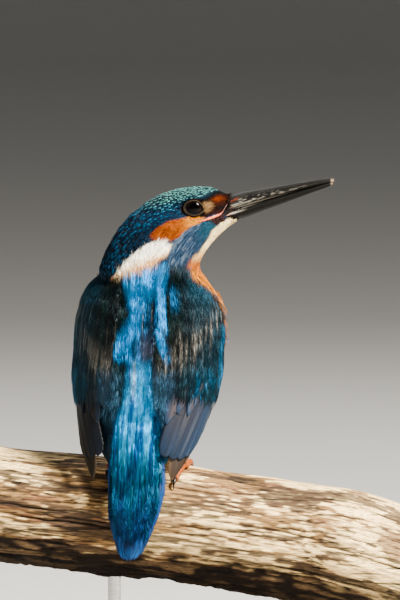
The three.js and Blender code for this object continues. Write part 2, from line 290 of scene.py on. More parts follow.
def scaled_colour(material, colour, factor):
    """Multiplies a colour socket by a number socket."""
    scaled = node(material, "ShaderNodeVectorMath")
    scaled.operation = "SCALE"
    link(material, colour, scaled.inputs[0])
    link(material, factor, scaled.inputs["Scale"])
    return scaled.outputs[0]


def relief(material, shader, height, strength, depth):
    """Raises a surface by a height socket, up to a depth in millimetres."""
    bump = node(material, "ShaderNodeBump", Height=height, Strength=strength, Distance=depth * MM)
    link(material, bump.outputs[0], shader.inputs["Normal"])


def speckled(material, colour, strength, size, stretch=(1, 1, 1)):
    """Multiplies a colour socket by fine noise of about that size in millimetres."""
    noise = noise_at(material, tuple(size / s for s in stretch), 4.0)
    factor = ranged(material, noise, (0.3, 0.7), (1 - strength, 1 + strength))
    return scaled_colour(material, colour, factor), noise


def tinted_material(name, roughness, strength, size, bump=0.0, stretch=(1, 1, 1), **settings):
    """A finish whose colour is the piece's own tint, under fine noise that also stirs its surface."""
    material, shader = new_material(name, roughness, **settings)
    tint = node(material, "ShaderNodeAttribute")
    tint.attribute_name = "tint"
    colour, noise = speckled(material, tint.outputs["Color"], strength, size, stretch=stretch)
    link(material, colour, shader.inputs["Base Color"])
    if bump:
        relief(material, shader, noise, 1.0, bump)
    return material


# ---------------------------------------------------------------- camera, light and floor
VIEW_AZIMUTH = math.radians(15)
VIEW_ELEVATION = math.radians(4)
VIEW_DISTANCE = 2.5
VIEW_WIDTH = 0.1404  # what the frame's short side takes in at the bird
FRAME_SHAPE = 400 / 600
AIM = (17.5, 57.2)  # millimetres right of and above the bird's origin, across the view
LAMP_AIM = 50 * MM  # how high above the bird's origin the lamps point


def camera():
    back = Vector((math.sin(VIEW_AZIMUTH) * math.cos(VIEW_ELEVATION),
                   -math.cos(VIEW_AZIMUTH) * math.cos(VIEW_ELEVATION), math.sin(VIEW_ELEVATION)))
    right = Vector((math.cos(VIEW_AZIMUTH), math.sin(VIEW_AZIMUTH), 0))
    up = back.cross(right)
    target = HOME + right * AIM[0] * MM + up * AIM[1] * MM
    data = bpy.data.cameras.new("camera")
    data.sensor_width = 36
    data.lens = data.sensor_width * VIEW_DISTANCE / (VIEW_WIDTH / FRAME_SHAPE)
    data.clip_end = 50
    made = bpy.data.objects.new("camera", data)
    made.location = target + back * VIEW_DISTANCE
    made.rotation_mode = "QUATERNION"
    made.rotation_quaternion = (-back).to_track_quat("-Z", "Y")
    bpy.context.scene.collection.objects.link(made)
    bpy.context.scene.camera = made


def lamp(name, azimuth, elevation, distance, size, power, colour):
    """A soft square light that faces the bird. Azimuth 0 is behind its back, 90 its right side."""
    a, e = math.radians(azimuth), math.radians(elevation)
    way = Vector((math.sin(a) * math.cos(e), -math.cos(a) * math.cos(e), math.sin(e)))
    data = bpy.data.lights.new(name, "AREA")
    data.shape = "SQUARE"
    data.size = size
    data.energy = power
    data.color = colour
    made = bpy.data.objects.new(name, data)
    made.location = HOME + Vector((0, 0, LAMP_AIM)) + way * distance
    made.rotation_mode = "QUATERNION"
    made.rotation_quaternion = (-way).to_track_quat("-Z", "Y")
    made.visible_camera = False
    bpy.context.scene.collection.objects.link(made)


# Name, azimuth and elevation in degrees, distance and size in metres, watts and colour.
LAMPS = [
    ("key", 62, 40, 1.1, 0.3, 104, (1.0, 0.94, 0.84)),
    ("fill", -50, 25, 1.5, 1.0, 2, (0.9, 0.95, 1.0)),
    ("far_side", 200, 40, 1.3, 0.8, 9, (1, 1, 1)),
]
WORLD_COLOUR = (0.86, 0.88, 0.9, 1)
WORLD_STRENGTH = 0.2


def lights():
    for settings in LAMPS:
        lamp(*settings)
    world = bpy.data.worlds.new("studio")
    world.use_nodes = True
    background = world.node_tree.nodes["Background"]
    background.inputs["Color"].default_value = WORLD_COLOUR
    background.inputs["Strength"].default_value = WORLD_STRENGTH
    bpy.context.scene.world = world


# The floor's profile, in metres out from the middle and up.
COVE = [(0, 0), (6.0, 0), (7.2, 0.12), (8.0, 0.55), (8.4, 1.3), (8.5, 2.4), (8.5, 6)]


def floor():
    """A pale floor that curves up into a wall all round, out of reach of every view."""
    bm = bmesh.new()
    line = [bm.verts.new((r, 0, z)) for r, z in COVE]
    for a, b in zip(line, line[1:]):
        bm.edges.new((a, b))
    bmesh.ops.spin(bm, geom=bm.verts[:] + bm.edges[:], cent=(0, 0, 0), axis=(0, 0, 1),
                   angle=math.tau, steps=64, use_merge=True)
    bmesh.ops.remove_doubles(bm, verts=bm.verts, dist=1e-5)
    bmesh.ops.recalc_face_normals(bm, faces=bm.faces)
    material, shader = new_material("pale floor", 0.8)
    tone = node(material, "ShaderNodeRGB")
    tone.outputs[0].default_value = (0.5, 0.49, 0.47, 1)
    colour, _ = speckled(material, tone.outputs[0], 0.015, 40)
    link(material, colour, shader.inputs["Base Color"])
    mesh_object("floor", made_mesh("floor", bm), material)


camera()
lights()
floor()


# ---------------------------------------------------------------- the skin
FLESH = ["head", "neck", "trunk", "tail_coverts_upper", "tail_coverts_lower",
         "wing_right_coverts", "wing_left_coverts"]
LEGS = ["leg_right", "leg_left"]
FLIGHT = ["wing_right_secondaries", "wing_left_secondaries", "wing_right_primaries", "wing_left_primaries"]
SWELL = 0.3  # closes the thin cuts between nodes before the remesh
SKIN_VOXEL = 0.58
COAT_DEPTH = 1.0  # how far the skin lies inside the plumage's outline
FACE_DEPTH = 0.5
# The chin's profile, (along, up), how it rounds up to its sides, and its highest place.
CHIN = [(19.8, 75), (20.8, 76.6), (23.8, 80.0), (26.7, 82.6), (29.6, 84.9), (32.2, 86.8), (34, 87.8)]
CHIN_ROUNDING = 0.06
CHIN_TOP = 90
BROW_HEIGHT = 2.5  # how far the plumage swells out round the eyes, from the eyeballs' middles
BROW_REACH = (3.1, 1.25)  # where that swelling starts and is full, in sizes of the eye's opening


def near_face(p):
    """1 on the face, falling to 0 over the crown and the cheeks."""
    along, up, _ = in_head(p)
    return step(-4, 16, along) * step(70, 80, up)


def sunk_copy(name, nodes, voxel):
    """One surface over some nodes of plumage, as deep in them as the coat is thick."""
    piece = rounded_copy(name, nodes, voxel)
    spots = places(piece.data)
    normals = corner_normals(piece.data)
    depth = SWELL + COAT_DEPTH + (FACE_DEPTH - COAT_DEPTH) * near_face(spots)
    spots = spots - normals * depth[:, None]
    along, up, left = in_head(spots)
    chin = along_line(CHIN, along) + CHIN_ROUNDING * left ** 2
    at_chin = (along > CHIN[0][0]) & (up > CHIN[0][1] - 2)
    spots[:, 2] = np.where(at_chin, np.maximum(up, np.minimum(chin, CHIN_TOP)), up)
    set_places(piece.data, brow(spots))
    return piece


def brow(spots):
    """Raises the plumage round the eyes, so that the head swells out to meet their lids."""
    along, up, left = in_head(spots)
    far = np.hypot((along - EYE_MIDDLE[0]) / EYE_HALF[0], (up - EYE_MIDDLE[1]) / EYE_HALF[1])
    rise = np.maximum(EYE_SET_IN + BROW_HEIGHT - np.abs(left), 0) * step(*BROW_REACH, far)
    return spots + (np.sign(left) * rise)[:, None] * np.array(HEAD_LEFT)


TRIES = 2.2  # candidates for each square of the spacing


class Surface:
    """A mesh that feathers grow on: finds its nearest place, and the way out of it there."""

    def __init__(self, mesh):
        self.spots = places(mesh)
        self.normals = corner_normals(mesh)
        mesh.calc_loop_triangles()
        self.triangles = np.zeros(len(mesh.loop_triangles) * 3, np.int32)
        mesh.loop_triangles.foreach_get("vertices", self.triangles)
        self.triangles = self.triangles.reshape(-1, 3)
        self.tree = BVHTree.FromPolygons(self.spots.tolist(), self.triangles.tolist())

    def nearest(self, points):
        """The surface's nearest places to points, and its smooth normals there."""
        found = [self.tree.find_nearest(p) for p in points.tolist()]
        spots = np.array([f[0] for f in found])
        faces = np.array([f[2] for f in found])
        return spots, unit(self.normals[self.triangles[faces]].mean(axis=1))

    def scatter(self, spacing, wanted, rng):
        """Places about spacing(p) apart wherever wanted(p) says, with their normals."""
        corners = self.spots[self.triangles]
        edges = corners[:, 1:] - corners[:, :1]
        area = np.linalg.norm(np.cross(edges[:, 0], edges[:, 1]), axis=1) / 2
        centres = corners.mean(axis=1)
        gap = spacing(centres)
        count = rng.poisson(np.where(wanted(centres), area * TRIES / gap ** 2, 0))
        chosen = np.repeat(np.arange(len(area)), count)
        a, b = rng.random((2, len(chosen)))
        root = np.sqrt(a)
        weights = np.stack([1 - root, root * (1 - b), root * b], axis=1)
        spots = (corners[chosen] * weights[:, :, None]).sum(axis=1)
        ways = unit((self.normals[self.triangles[chosen]] * weights[:, :, None]).sum(axis=1))
        kept = thinned(spots, gap[chosen], rng)
        return spots[kept], ways[kept]


def thinned(spots, gap, rng):
    """The indices of places that lie at least their own gap apart, taken in random order."""
    cell = gap.max()
    keys = np.floor(spots / cell).astype(int).tolist()
    room = {}
    kept = []
    near = list(itertools.product((-1, 0, 1), repeat=3))
    listed = spots.tolist()
    gaps = (gap ** 2).tolist()
    for i in rng.permutation(len(spots)).tolist():
        x, y, z = listed[i]
        a, b, c = keys[i]
        if all((x - q[0]) ** 2 + (y - q[1]) ** 2 + (z - q[2]) ** 2 >= gaps[i]
               for da, db, dc in near for q in room.get((a + da, b + db, c + dc), ())):
            room.setdefault((a, b, c), []).append(listed[i])
            kept.append(i)
    return np.array(kept)


# ---------------------------------------------------------------- the lie of the coat
# Places on the bird, and the way that the feathers point there. Head places are along and up.
HEAD_LIE = [
    ((30, 91), (-1, 0.25)), ((24, 96), (-1, 0.3)), ((14, 97), (-1, -0.05)), ((4, 95), (-0.9, -0.4)),
    ((-5, 89), (-0.65, -0.75)), ((-12, 80), (-0.4, -0.9)), ((16, 90), (-1, -0.1)), ((8, 87), (-0.95, -0.35)),
    ((0, 79), (-0.7, -0.7)), ((12, 82), (-0.85, -0.5)), ((24, 84), (-0.95, -0.35)), ((20, 77), (-0.6, -0.8)),
    ((6, 72), (-0.45, -0.9)), ((-14, 70), (-0.2, -1)), ((18, 71), (-0.2, -1)),
]
BODY_LIE = [
    ((0, -16, 64), (0, -0.2, -1)), ((16, -10, 60), (0.15, -0.2, -1)), ((-16, -10, 60), (-0.15, -0.2, -1)),
    ((0, 18, 62), (0, 0.1, -1)), ((0, -21, 45), (0, 0, -1)), ((22, 0, 45), (0.05, -0.25, -1)),
    ((-22, 0, 45), (-0.05, -0.25, -1)), ((0, 24, 42), (0, -0.1, -1)), ((0, -22, 25), (0, -0.05, -1)),
    ((20, -8, 25), (-0.2, -0.25, -1)), ((-20, -8, 25), (0.2, -0.25, -1)), ((0, 16, 22), (0, -0.5, -1)),
    ((14, 6, 14), (0, -0.6, -1)), ((-14, 6, 14), (0, -0.6, -1)), ((0, -26, 0), (0, -0.05, -1)),
    ((0, 0, 6), (0, -0.9, -0.5)), ((0, -29, -18), (0, 0, -1)),
]
LIE_REACH = 7.0  # how far a place's lie is felt


def lie_places():
    heads = [(from_head(*spot), from_head(*way) - from_head(0, 0)) for spot, way in HEAD_LIE]
    bodies = [(np.array(spot, float), np.array(way, float)) for spot, way in BODY_LIE]
    spots, ways = zip(*heads, *bodies)
    return np.array(spots), unit(np.array(ways))


LIE_SPOTS, LIE_WAYS = lie_places()


def lie(p, normals):
    """The way that the coat lies at p, along the skin."""
    apart = ((p[:, None, :] - LIE_SPOTS) ** 2).sum(-1)
    weight = 1 / (apart + LIE_REACH ** 2) ** 2.5
    way = (weight[:, :, None] * LIE_WAYS).sum(axis=1)
    return unit(way - normals * dot(way, normals)[:, None])


# ---------------------------------------------------------------- markings
# Outlines on the side of the head, along and up. Both sides of the head carry them.
EAR_PATCH = [(19.6, 87.0), (16, 87.3), (12.5, 87.0), (6.7, 85.6), (2.4, 83.2), (1.0, 81.2), (1.6, 79.6),
             (5, 78.4), (8.6, 78.9), (11.9, 81.3), (14.3, 83.5), (18.2, 84.9)]
NECK_PATCH = [(8.3, 77.2), (5.5, 78.8), (2, 78.8), (-1.4, 77.2), (-6.8, 72.7), (-12.8, 65.6), (-11.2, 65.8),
              (-5, 69.7), (-0.5, 71.6), (3.2, 73), (7, 74.4)]
NECK_PATCH_RIM = [(-14, 63), (-12.4, 66.4), (-6.2, 70.6), (-0.6, 73), (3.2, 74), (7.2, 75), (6, 71), (3, 69),
                  (-6, 66)]
CHEEK = [(24.6, 86.2), (17.9, 84.8), (14.3, 83.8), (11.9, 81.5), (8.9, 79.1), (8, 76.6), (6.8, 74.4),
         (2, 70.6), (5, 67.5), (13, 68.5), (15.4, 72.2), (17.7, 74.8), (20.2, 78.8), (23.2, 83.4)]
THROAT = [(36, 88.4), (31, 87.4), (26.4, 85.6), (23, 83.2), (20, 78.6), (17.5, 74.6), (15.2, 72.2), (18, 71),
          (26, 70), (38, 80)]
LORE = [(29.6, 95), (24, 95.4), (19.6, 93.7), (15.8, 93.5), (12, 92.6), (10.9, 90.2), (12, 88.0), (16, 87.5),
        (20, 87.1), (26, 88.8), (30, 92)]
GAPE_SHADE = [(20.6, 85.6), (25.8, 88.4), (26.8, 85.8), (23.6, 84.0)]
FOREHEAD = [(21, 94.6), (25, 95.2), (31, 94), (31, 97), (24, 98)]
LORAL_SPOT = {"centre": (24.6, 92.7), "size": (3.2, 2.1), "tilt": 0.2}
PALE_SPOT = {"centre": (20.5, 90.8), "size": (1.9, 2.1), "tilt": 0.0}

# How far forwards the feathers reach on the bill's base: (up, along).
BILL_BASE = [(82.5, 28), (83.6, 30.4), (84.6, 31.8), (85.4, 32.4), (86.2, 28.4), (87.3, 26.4), (88.4, 25.2),
             (90.2, 26.6), (91.9, 28.6), (92.8, 29.2), (94.9, 28.2), (96, 27.8)]

INK = {name: rgb(code) for name, code in {
    "crown": "021820", "crown_bar": "5a9c96", "nape": "030c18", "nape_bar": "10486e", "side": "061c34",
    "side_bar": "1a719a", "lore": "060403", "lore_brown": "220a04", "loral": "1a0600",
    "loral_bright": "5a2001", "pale": "785a38", "ear": "7c3400", "ear_front": "bc7406",
    "ear_deep": "541f02", "white": "fff8e6", "cream": "f8e0b4", "cheek": "12283e", "cheek_pale": "667688",
    "cheek_teal": "143c4c", "throat": "f6de9e", "breast": "904800", "breast_pale": "c87c0c",
    "azure": "008fe2", "azure_pale": "1aa6f4", "back_dark": "020c18", "mid_blue": "045890",
    "violet": "545a74", "mid_dark": "0a2234", "rump": "00abf2", "rump_deep": "02549c",
    "rump_dark": "01182a", "turquoise": "08a0b8", "covert": "04090a", "covert_green": "061c1c",
    # The coverts' brown is both their colour and their painted sheen; the silky grey and sheen_pale are
    # painted sheen.
    "covert_teal": "12384a", "covert_brown_and_sheen": "26211c", "silky": "9c9890", "sheen_pale": "b4daec",
    "covert_edge": "1288cc", "slate": "284a64", "flight": "0a1b2e", "flight_brown": "2a221f",
    "flight_blue": "062742", "tip": "251b13", "tip_edge": "604c36", "tail": "012450", "tail_dark": "010c18",
    "tail_bright": "024a8c", "tail_end": "02305c", "gape": "983408", "gape_pale": "cc5e22",
    "wood": "84643c", "wood_pale": "e6c486", "wood_grey": "3c2e22", "wood_stain": "5c3a26",
    "bark": "180f08", "bark_dark": "080503", "lichen": "5c4830", "crack": "0a0503", "bill": "050504",
    "bill_grey": "141312", "bill_pale": "b0a89c", "bill_tip": "6c5a48", "iris": "140704",
    "iris_dark": "0c0402", "pupil": "010101", "lid": "060504", "rim_pale": "6a5436", "foot": "7c3a04",
    "foot_dark": "3c1a04", "claw": "080605", "claw_base": "341810",
}.items()}


def oval(spot, x, y, edge):
    """1 inside a marking's oval, 0 outside, soft over a share of its size."""
    dx, dy = x - spot["centre"][0], y - spot["centre"][1]
    c, s = math.cos(spot["tilt"]), math.sin(spot["tilt"])
    far = np.hypot((dx * c + dy * s) / spot["size"][0], (dy * c - dx * s) / spot["size"][1])
    return step(1 + edge, 1 - edge, far)


def head_colours(p):
    """The colours of the head and neck, and how strongly their feathers are barred."""
    along, up, left = in_head(p)
    along = along + 0.45 * grain(p, 1.2, 1)
    up = up + 0.45 * grain(p, 1.2, 2)
    hair = grain(np.stack([0.6 * along + 0.8 * up, 0.8 * along - 0.6 * up, left], axis=1), (3.0, 0.3, 3), 13)
    nape = step(8, -8, along)
    top = step(90.0, 95.5, up + 0.22 * (15 - along))
    base = mix(mix(INK["side"], INK["crown"], top), INK["nape"], nape * 0.85)
    bar = mix(mix(INK["side_bar"], INK["crown_bar"], top), INK["nape_bar"], nape * 0.8)
    over_ear = np.abs(up - (86.8 + 0.56 * (along - 11)))
    dusk = step(5.2, 1.8, over_ear) * step(13, 9, along) * step(-11, -4, along)
    base = base * (1 - 0.35 * dusk)[:, None]
    barred = (0.5 + 0.5 * top) * (1 - 0.85 * dusk) * step(-0.9, 0.2, grain(p, 2.2, 14) + 0.5)
    forehead = within(FOREHEAD, along, up, 0.5)
    base = mix(base, INK["lore"], forehead * 0.8)
    cheek = within(CHEEK, along, up, 0.45)
    cheek_colour = mix(INK["cheek"], INK["cheek_teal"], step(15, 22, along) * step(76, 82, up))
    pale = step(-0.25, 0.75, hair + 0.2 * grain(p, (0.9, 0.9, 1.4), 15)) * step(22, 17, along)
    haze = np.exp(-((along - 13.5 + 0.4 * (82 - up)) / 4.5) ** 2)
    cheek_colour = mix(cheek_colour, INK["cheek_pale"], (0.16 + 0.5 * haze) * pale)
    base = mix(base, cheek_colour, cheek)
    buff = mix(INK["breast_pale"], INK["cream"], step(-0.4, 0.6, hair) * 0.6)
    base = mix(base, buff, within(NECK_PATCH_RIM, along, up, 0.6) * (1 - cheek))
    ear_place = within(EAR_PATCH, along, up, 0.35)
    ear = mix(INK["ear"], INK["ear_front"], step(10, 16.5, along) * 0.8)
    deep = np.exp(-((along - 6.2) / 5) ** 2 - ((up - 81.8) / 2.4) ** 2)
    deep = np.clip(deep * 0.8 + step(-0.1, 0.6, hair) * 0.12, 0, 1) * step(15, 10, along)
    ear = mix(ear, INK["ear_deep"], deep)
    ear = mix(ear, INK["ear_front"], step(0.2, 0.7, -hair) * 0.12)
    base = mix(base, ear, ear_place)
    white = within(NECK_PATCH, along, up, 0.45)
    above_edge = up - (65.6 + 0.444 * (along + 12.8))
    patch = mix(INK["white"], INK["cream"], step(2.6, 0.9, above_edge + 0.5 * hair) * 0.9)
    base = mix(base, mix(patch, INK["breast_pale"], step(1.2, 0.0, above_edge + 0.4 * hair) * 0.7), white)
    throat = within(THROAT, along, up, 0.4)
    base = mix(base, mix(INK["throat"], INK["breast_pale"], step(76, 73.5, up) * 0.6), throat)
    lore = within(LORE, along, up, 0.3)
    base = mix(base, mix(INK["lore"], INK["lore_brown"], step(19, 24, along) * step(91, 88, up)), lore)
    # Painted shade beside the gape, in the lore's brown.
    gape_shade = within(GAPE_SHADE, along, up, 0.4)
    base = mix(base, INK["lore_brown"], gape_shade)
    rust = np.exp(-((along - 23.8) / 2.2) ** 2 - ((up - 93.4) / 1.1) ** 2)
    loral = mix(INK["loral"], INK["loral_bright"], np.clip(rust + 0.2 * hair, 0, 1))
    loral = mix(loral, INK["lore_brown"], step(92.4, 90.8, up) * 0.8)
    base = mix(base, loral, oval(LORAL_SPOT, along, up, 0.12))
    mottle = 0.75 + 0.5 * grain(p, 0.45, 20)
    base = mix(base, INK["pale"] * mottle[:, None], oval(PALE_SPOT, along, up, 0.3))
    under_eye = np.exp(-((up - 86.9) / 0.35) ** 2) * step(12.8, 14, along) * step(19, 18, along)
    base = mix(base, INK["ear_front"], under_eye * step(-0.2, 0.3, grain(p, 0.7, 17)))
    marked = np.maximum.reduce([cheek, lore, ear_place, white, throat, gape_shade, forehead * 0.4])
    horn = step(-0.3, 0.2, along - along_line(BILL_BASE, up)) * step(81, 83, up)
    base = mix(base, mix(INK["bill"], INK["lore_brown"], step(0, 0.5, hair)), horn)
    return base, bar, barred * (1 - marked)


def silky_part(p):
    """1 where the head's feathers are fine and silky rather than barred."""
    along, up, _ = in_head(p)
    shapes = (CHEEK, EAR_PATCH, NECK_PATCH, NECK_PATCH_RIM, THROAT, LORE)
    return np.maximum.reduce([within(shape, along, up, 0.6) for shape in shapes])


# The front of the folded wing: (up, forwards). The breast shows ahead of it.
WING_FRONT = [(-12, -24), (-1, -19), (6, -13), (15, -5), (26, 2), (38, 4), (48, 3.2), (54, 3), (58, 1.2),
              (62, -2), (66, -5), (70, -6)]
# The azure down the middle of the back: (up, half its width).
STRIPE = [(-32, 10), (-6, 9.4), (5, 8.6), (12, 8.6), (18, 7.6), (22, 5.0), (30, 3.9), (42, 4.4), (52, 5.2),
          (62, 7.2), (70, 7.6)]
STRIPE_MIDDLE = 1.9
# The blue streaks beside it and one fainter one, as outlines across and up.
STREAKS = [
    [(2.4, 58), (-1.0, 57.5), (-7.4, 40), (-5.4, 38.4), (-2.6, 38.6)],
    [(7.4, 49), (9, 48.5), (13.2, 39), (11, 38.4)],
    [(6.2, 66), (8.6, 66), (11.8, 48), (9.2, 49)],
]
FAINT_LANE = [(10.8, 61.5), (13, 61), (14.4, 56), (12, 55)]
# The painted sheen across the wing coverts: (out from the middle, up).
SHEEN_ARC = [(9, 35.5), (14, 39), (18, 42), (22, 46.5), (25, 51.5), (26, 58)]
# The trunk's middle: (up, forwards), and how far its back stands behind it.
BODY_MIDDLE = [(-30, -10), (-10, -8), (20, 0), (60, 6)]
BACK_RADIUS = 18


def unrolled(p):
    """Places unrolled from round the body: how far round from the middle of its back, and the height."""
    x, y, z = p.T
    round_back = BACK_RADIUS * np.arctan2(x, along_line(BODY_MIDDLE, z) - y)
    return np.stack([round_back, 0 * x, z], axis=1)


def back_colours(p):
    """The colours of the back, the wings' coverts and the rump, with painted sheen on the coverts and the
    rump and painted shade low on the rump. The left side is in the bird's own shade, which is painted
    into its colours: some of its tones are weaker."""
    x, z = p[:, 0], p[:, 2]
    flat = unrolled(p)
    hair = grain(flat, (0.42, 1, 8), 6)
    hair_too = grain(flat, (0.5, 1, 12), 8)
    lock = grain(flat, (1.5, 1, 13), 27)
    x = x + 0.6 * lock + 0.35 * hair_too
    z = z + 1.5 * hair_too
    side = np.abs(x - 0.5)
    # Painted shade on the left side: its paler tones are mixed in at this share of their strength.
    shaded_left = lambda share: np.where(x > 0, 1, share)
    wide = along_line(STRIPE, z)
    off = np.abs(x - STRIPE_MIDDLE - 1.2 * np.exp(-((z - 52) / 6) ** 2))
    stripe = step(wide + 1.2, wide - 1.3, off)
    covert = mix(INK["covert"], INK["covert_green"], step(0.0, 0.5, lock + 0.4 * hair) * 0.7)
    covert = mix(covert, INK["covert_teal"], step(13, 24, side) * (0.45 + 0.35 * step(-0.3, 0.4, hair)))
    shoulder = step(54, 63, z) * step(12, 19, side)
    covert = mix(covert, INK["covert_teal"], shoulder * 0.7)
    # Painted sheen: a narrow arc of silky grey and a wider band of brown and grey across the coverts.
    above = z - along_line(SHEEN_ARC, side)
    arc = np.exp(-(above / 2.3) ** 2) * step(8, 11, side) * step(28, 25, side) * shaded_left(0.45)
    wide_arc = np.exp(-(above / 8) ** 2) * step(5, 9, side) * step(27, 22, side)
    brown = wide_arc * shaded_left(0.5) * (0.3 + 0.5 * step(-0.4, 0.5, hair))
    covert = mix(covert, INK["covert_brown_and_sheen"], brown)
    covert = mix(covert, INK["silky"], arc * step(-0.1, 0.6, hair_too) * 0.85)
    covert = mix(covert, INK["silky"], wide_arc * step(0.25, 0.6, hair) * 0.3)
    lobes = step(36, 30, z) * step(16, 12, side) * shaded_left(0.55)
    covert = mix(covert, INK["slate"], (0.6 + 0.3 * step(-0.3, 0.3, hair)) * lobes)
    outer = step(36, 30, z) * step(12, 17, side) * shaded_left(0.6)
    covert = mix(covert, INK["covert_teal"], 0.6 * outer * step(-0.3, 0.4, hair))
    brown = np.exp(-((side - 16) / 3.5) ** 2) * np.exp(-((z - 24) / 3.5) ** 2)
    covert = mix(covert, INK["flight_brown"], brown * step(-0.4, 0.4, hair) * 0.8)
    rim = step(25.6, 26.8, side) * step(52, 44, z) * step(12, 20, z)
    rim = rim * step(-0.1, 0.4, grain(p, (0.8, 0.8, 2.0), 7))
    specks = step(17, 23, side) * step(36, 29, z) * step(0.25, 0.6, grain(p, (0.6, 0.6, 1.6), 19))
    covert = mix(covert, INK["covert_edge"], np.maximum(rim * 0.9, 0.5 * specks))
    mantle = mix(INK["azure"], INK["mid_blue"], step(-0.25, 0.1, lock * 0.9 + hair * 0.4))
    dark = step(0.0, 0.35, lock * 0.5 + hair_too * 0.7) * (0.6 + 0.4 * step(40, 50, z))
    mantle = mix(mantle, INK["back_dark"], dark)
    mantle = mix(mantle, INK["azure_pale"], step(0.15, 0.6, hair_too - 0.2 * lock) * 0.55)
    # Painted light: a paler band across the back where the neck meets the trunk, over the shade in that
    # crease.
    mantle = mix(mantle, INK["azure_pale"], 0.35 * np.exp(-((z - 61) / 2.2) ** 2))
    middle = step(61, 56.5, z) * step(3.9, 2.5, np.abs(x - 3.7 - 0.1 * (50 - z)))
    between = mix(INK["mid_dark"], INK["mid_blue"], step(0.1, 0.5, hair) * 0.8)
    # Silky grey streaks through the middle lane: painted sheen.
    between = mix(between, INK["silky"], step(0.2, 0.6, hair_too) * 0.5)
    mantle = mix(mantle, between, middle * 0.95)
    centre = np.exp(-((z - 41) / 4.5) ** 2) * step(4.5, 1.8, np.abs(x - 4.4))
    mantle = mix(mantle, mix(INK["violet"], INK["covert_brown_and_sheen"], step(0, 0.4, hair)), centre * 0.75)
    rump = mix(INK["rump"], INK["rump_deep"], step(-0.05, 0.2, 0.7 * hair + 0.4 * lock))
    rump = mix(rump, INK["rump_dark"], step(0.2, 0.6, hair_too + 0.1 * step(3, 8, off)) * 0.85)
    # Painted light: the rump's pale azure grows stronger higher up.
    light = step(15, 25, z) * 0.82 + 0.03
    rump = mix(rump, INK["azure_pale"], step(-0.3, 0.25, grain(flat, (0.5, 1, 12), 9)) * light)
    rump = mix(rump, INK["turquoise"], step(0.2, 0.6, grain(flat, (1.1, 1, 14), 24)) * step(20, 8, z) * 0.6)
    # Painted shade: the rump darkens towards the tail below, and a little on its left side.
    rump = rump * ((1 - 0.8 * step(13, -3, z)) * (1 - 0.2 * step(1, -6, x) * step(22, 6, z)))[:, None]
    rump = mix(rump, INK["tail"], step(-6, -18, z) * (0.4 + 0.4 * step(-0.2, 0.3, hair_too)))
    # Painted sheen: a pale streak down the middle of the upper rump.
    sheen = np.exp(-((x - 0.4) / 1.5) ** 2) * step(22, 29, z) * step(-0.3, 0.3, hair)
    rump = mix(rump, INK["sheen_pale"], sheen * 0.5)
    lower = step(37, 34, z)
    blue = mix(mantle, rump, lower)
    lanes = np.maximum.reduce([within(s, x, z, 0.5) for s in STREAKS])
    base = mix(covert, blue, stripe)
    lane = mix(INK["azure"], INK["azure_pale"], step(-0.1, 0.6, hair) * 0.35)
    lane = mix(lane, INK["mid_blue"], step(-0.1, 0.35, -lock - 0.4 * hair_too) * 0.8)
    base = mix(base, lane, lanes * (1 - lower) * (1 - 0.5 * step(0.2, 0.6, hair_too)))
    base = mix(base, INK["mid_blue"], within(FAINT_LANE, x, z, 1.5) * step(-0.3, 0.4, hair) * 0.8)
    left_shade = step(-3, -8, x) * np.exp(-((z - 42) / 12) ** 2) * step(-20, -15, x)
    return mix(base, INK["covert_brown_and_sheen"], left_shade * step(-0.1, 0.5, hair) * 0.35)


def front_colours(p):
    """The colours of the breast, the belly and the flanks."""
    flat = unrolled(p)
    streaky = 0.6 * grain(flat, (0.8, 1, 5), 10) + 0.4 * grain(flat, (2.4, 1, 10), 28)
    base = mix(INK["breast"], INK["breast_pale"], 0.2 + 0.5 * step(-0.6, 0.7, streaky))
    paler = step(16, 4, p[:, 2]) * 0.5
    return mix(base, INK["throat"], paler)


# The lower edge of the head's markings, and the orange that reaches up beside the throat: (along, up).
HOOD_EDGE = [(-20, 65.4), (-13.5, 65.4), (-6, 68), (3, 70.4), (9, 70.2), (12.5, 69.6), (18, 68.4), (24, 66)]
BREAST_TOP = [(12.4, 70), (15, 72.6), (19, 74.4), (26, 72), (28, 58), (24.6, 61), (20.5, 65.4), (17, 67.6)]


def plumage(p):
    """The coat's colour at p, its bars' colour and how strongly it is barred."""
    x, y, z = p.T
    along = in_head(p)[0]
    hood = step(-0.5, 0.5, z - along_line(HOOD_EDGE, along) + 0.6 * grain(p, 2, 11))
    far_shoulder = 5 * step(-4, -12, x) * step(50, 58, z)
    front = step(-0.8, 0.8, y - along_line(WING_FRONT, z) - far_shoulder + 0.8 * grain(p, 2, 12))
    head, bar, barred = head_colours(p)
    body = mix(back_colours(p), front_colours(p), front)
    body = mix(body, INK["breast"], within(BREAST_TOP, along, z, 0.6))
    head = mix(head, INK["breast"], step(72.6, 70.6, z) * step(13, 15, along))
    return mix(body, head, hood), bar, barred * hood


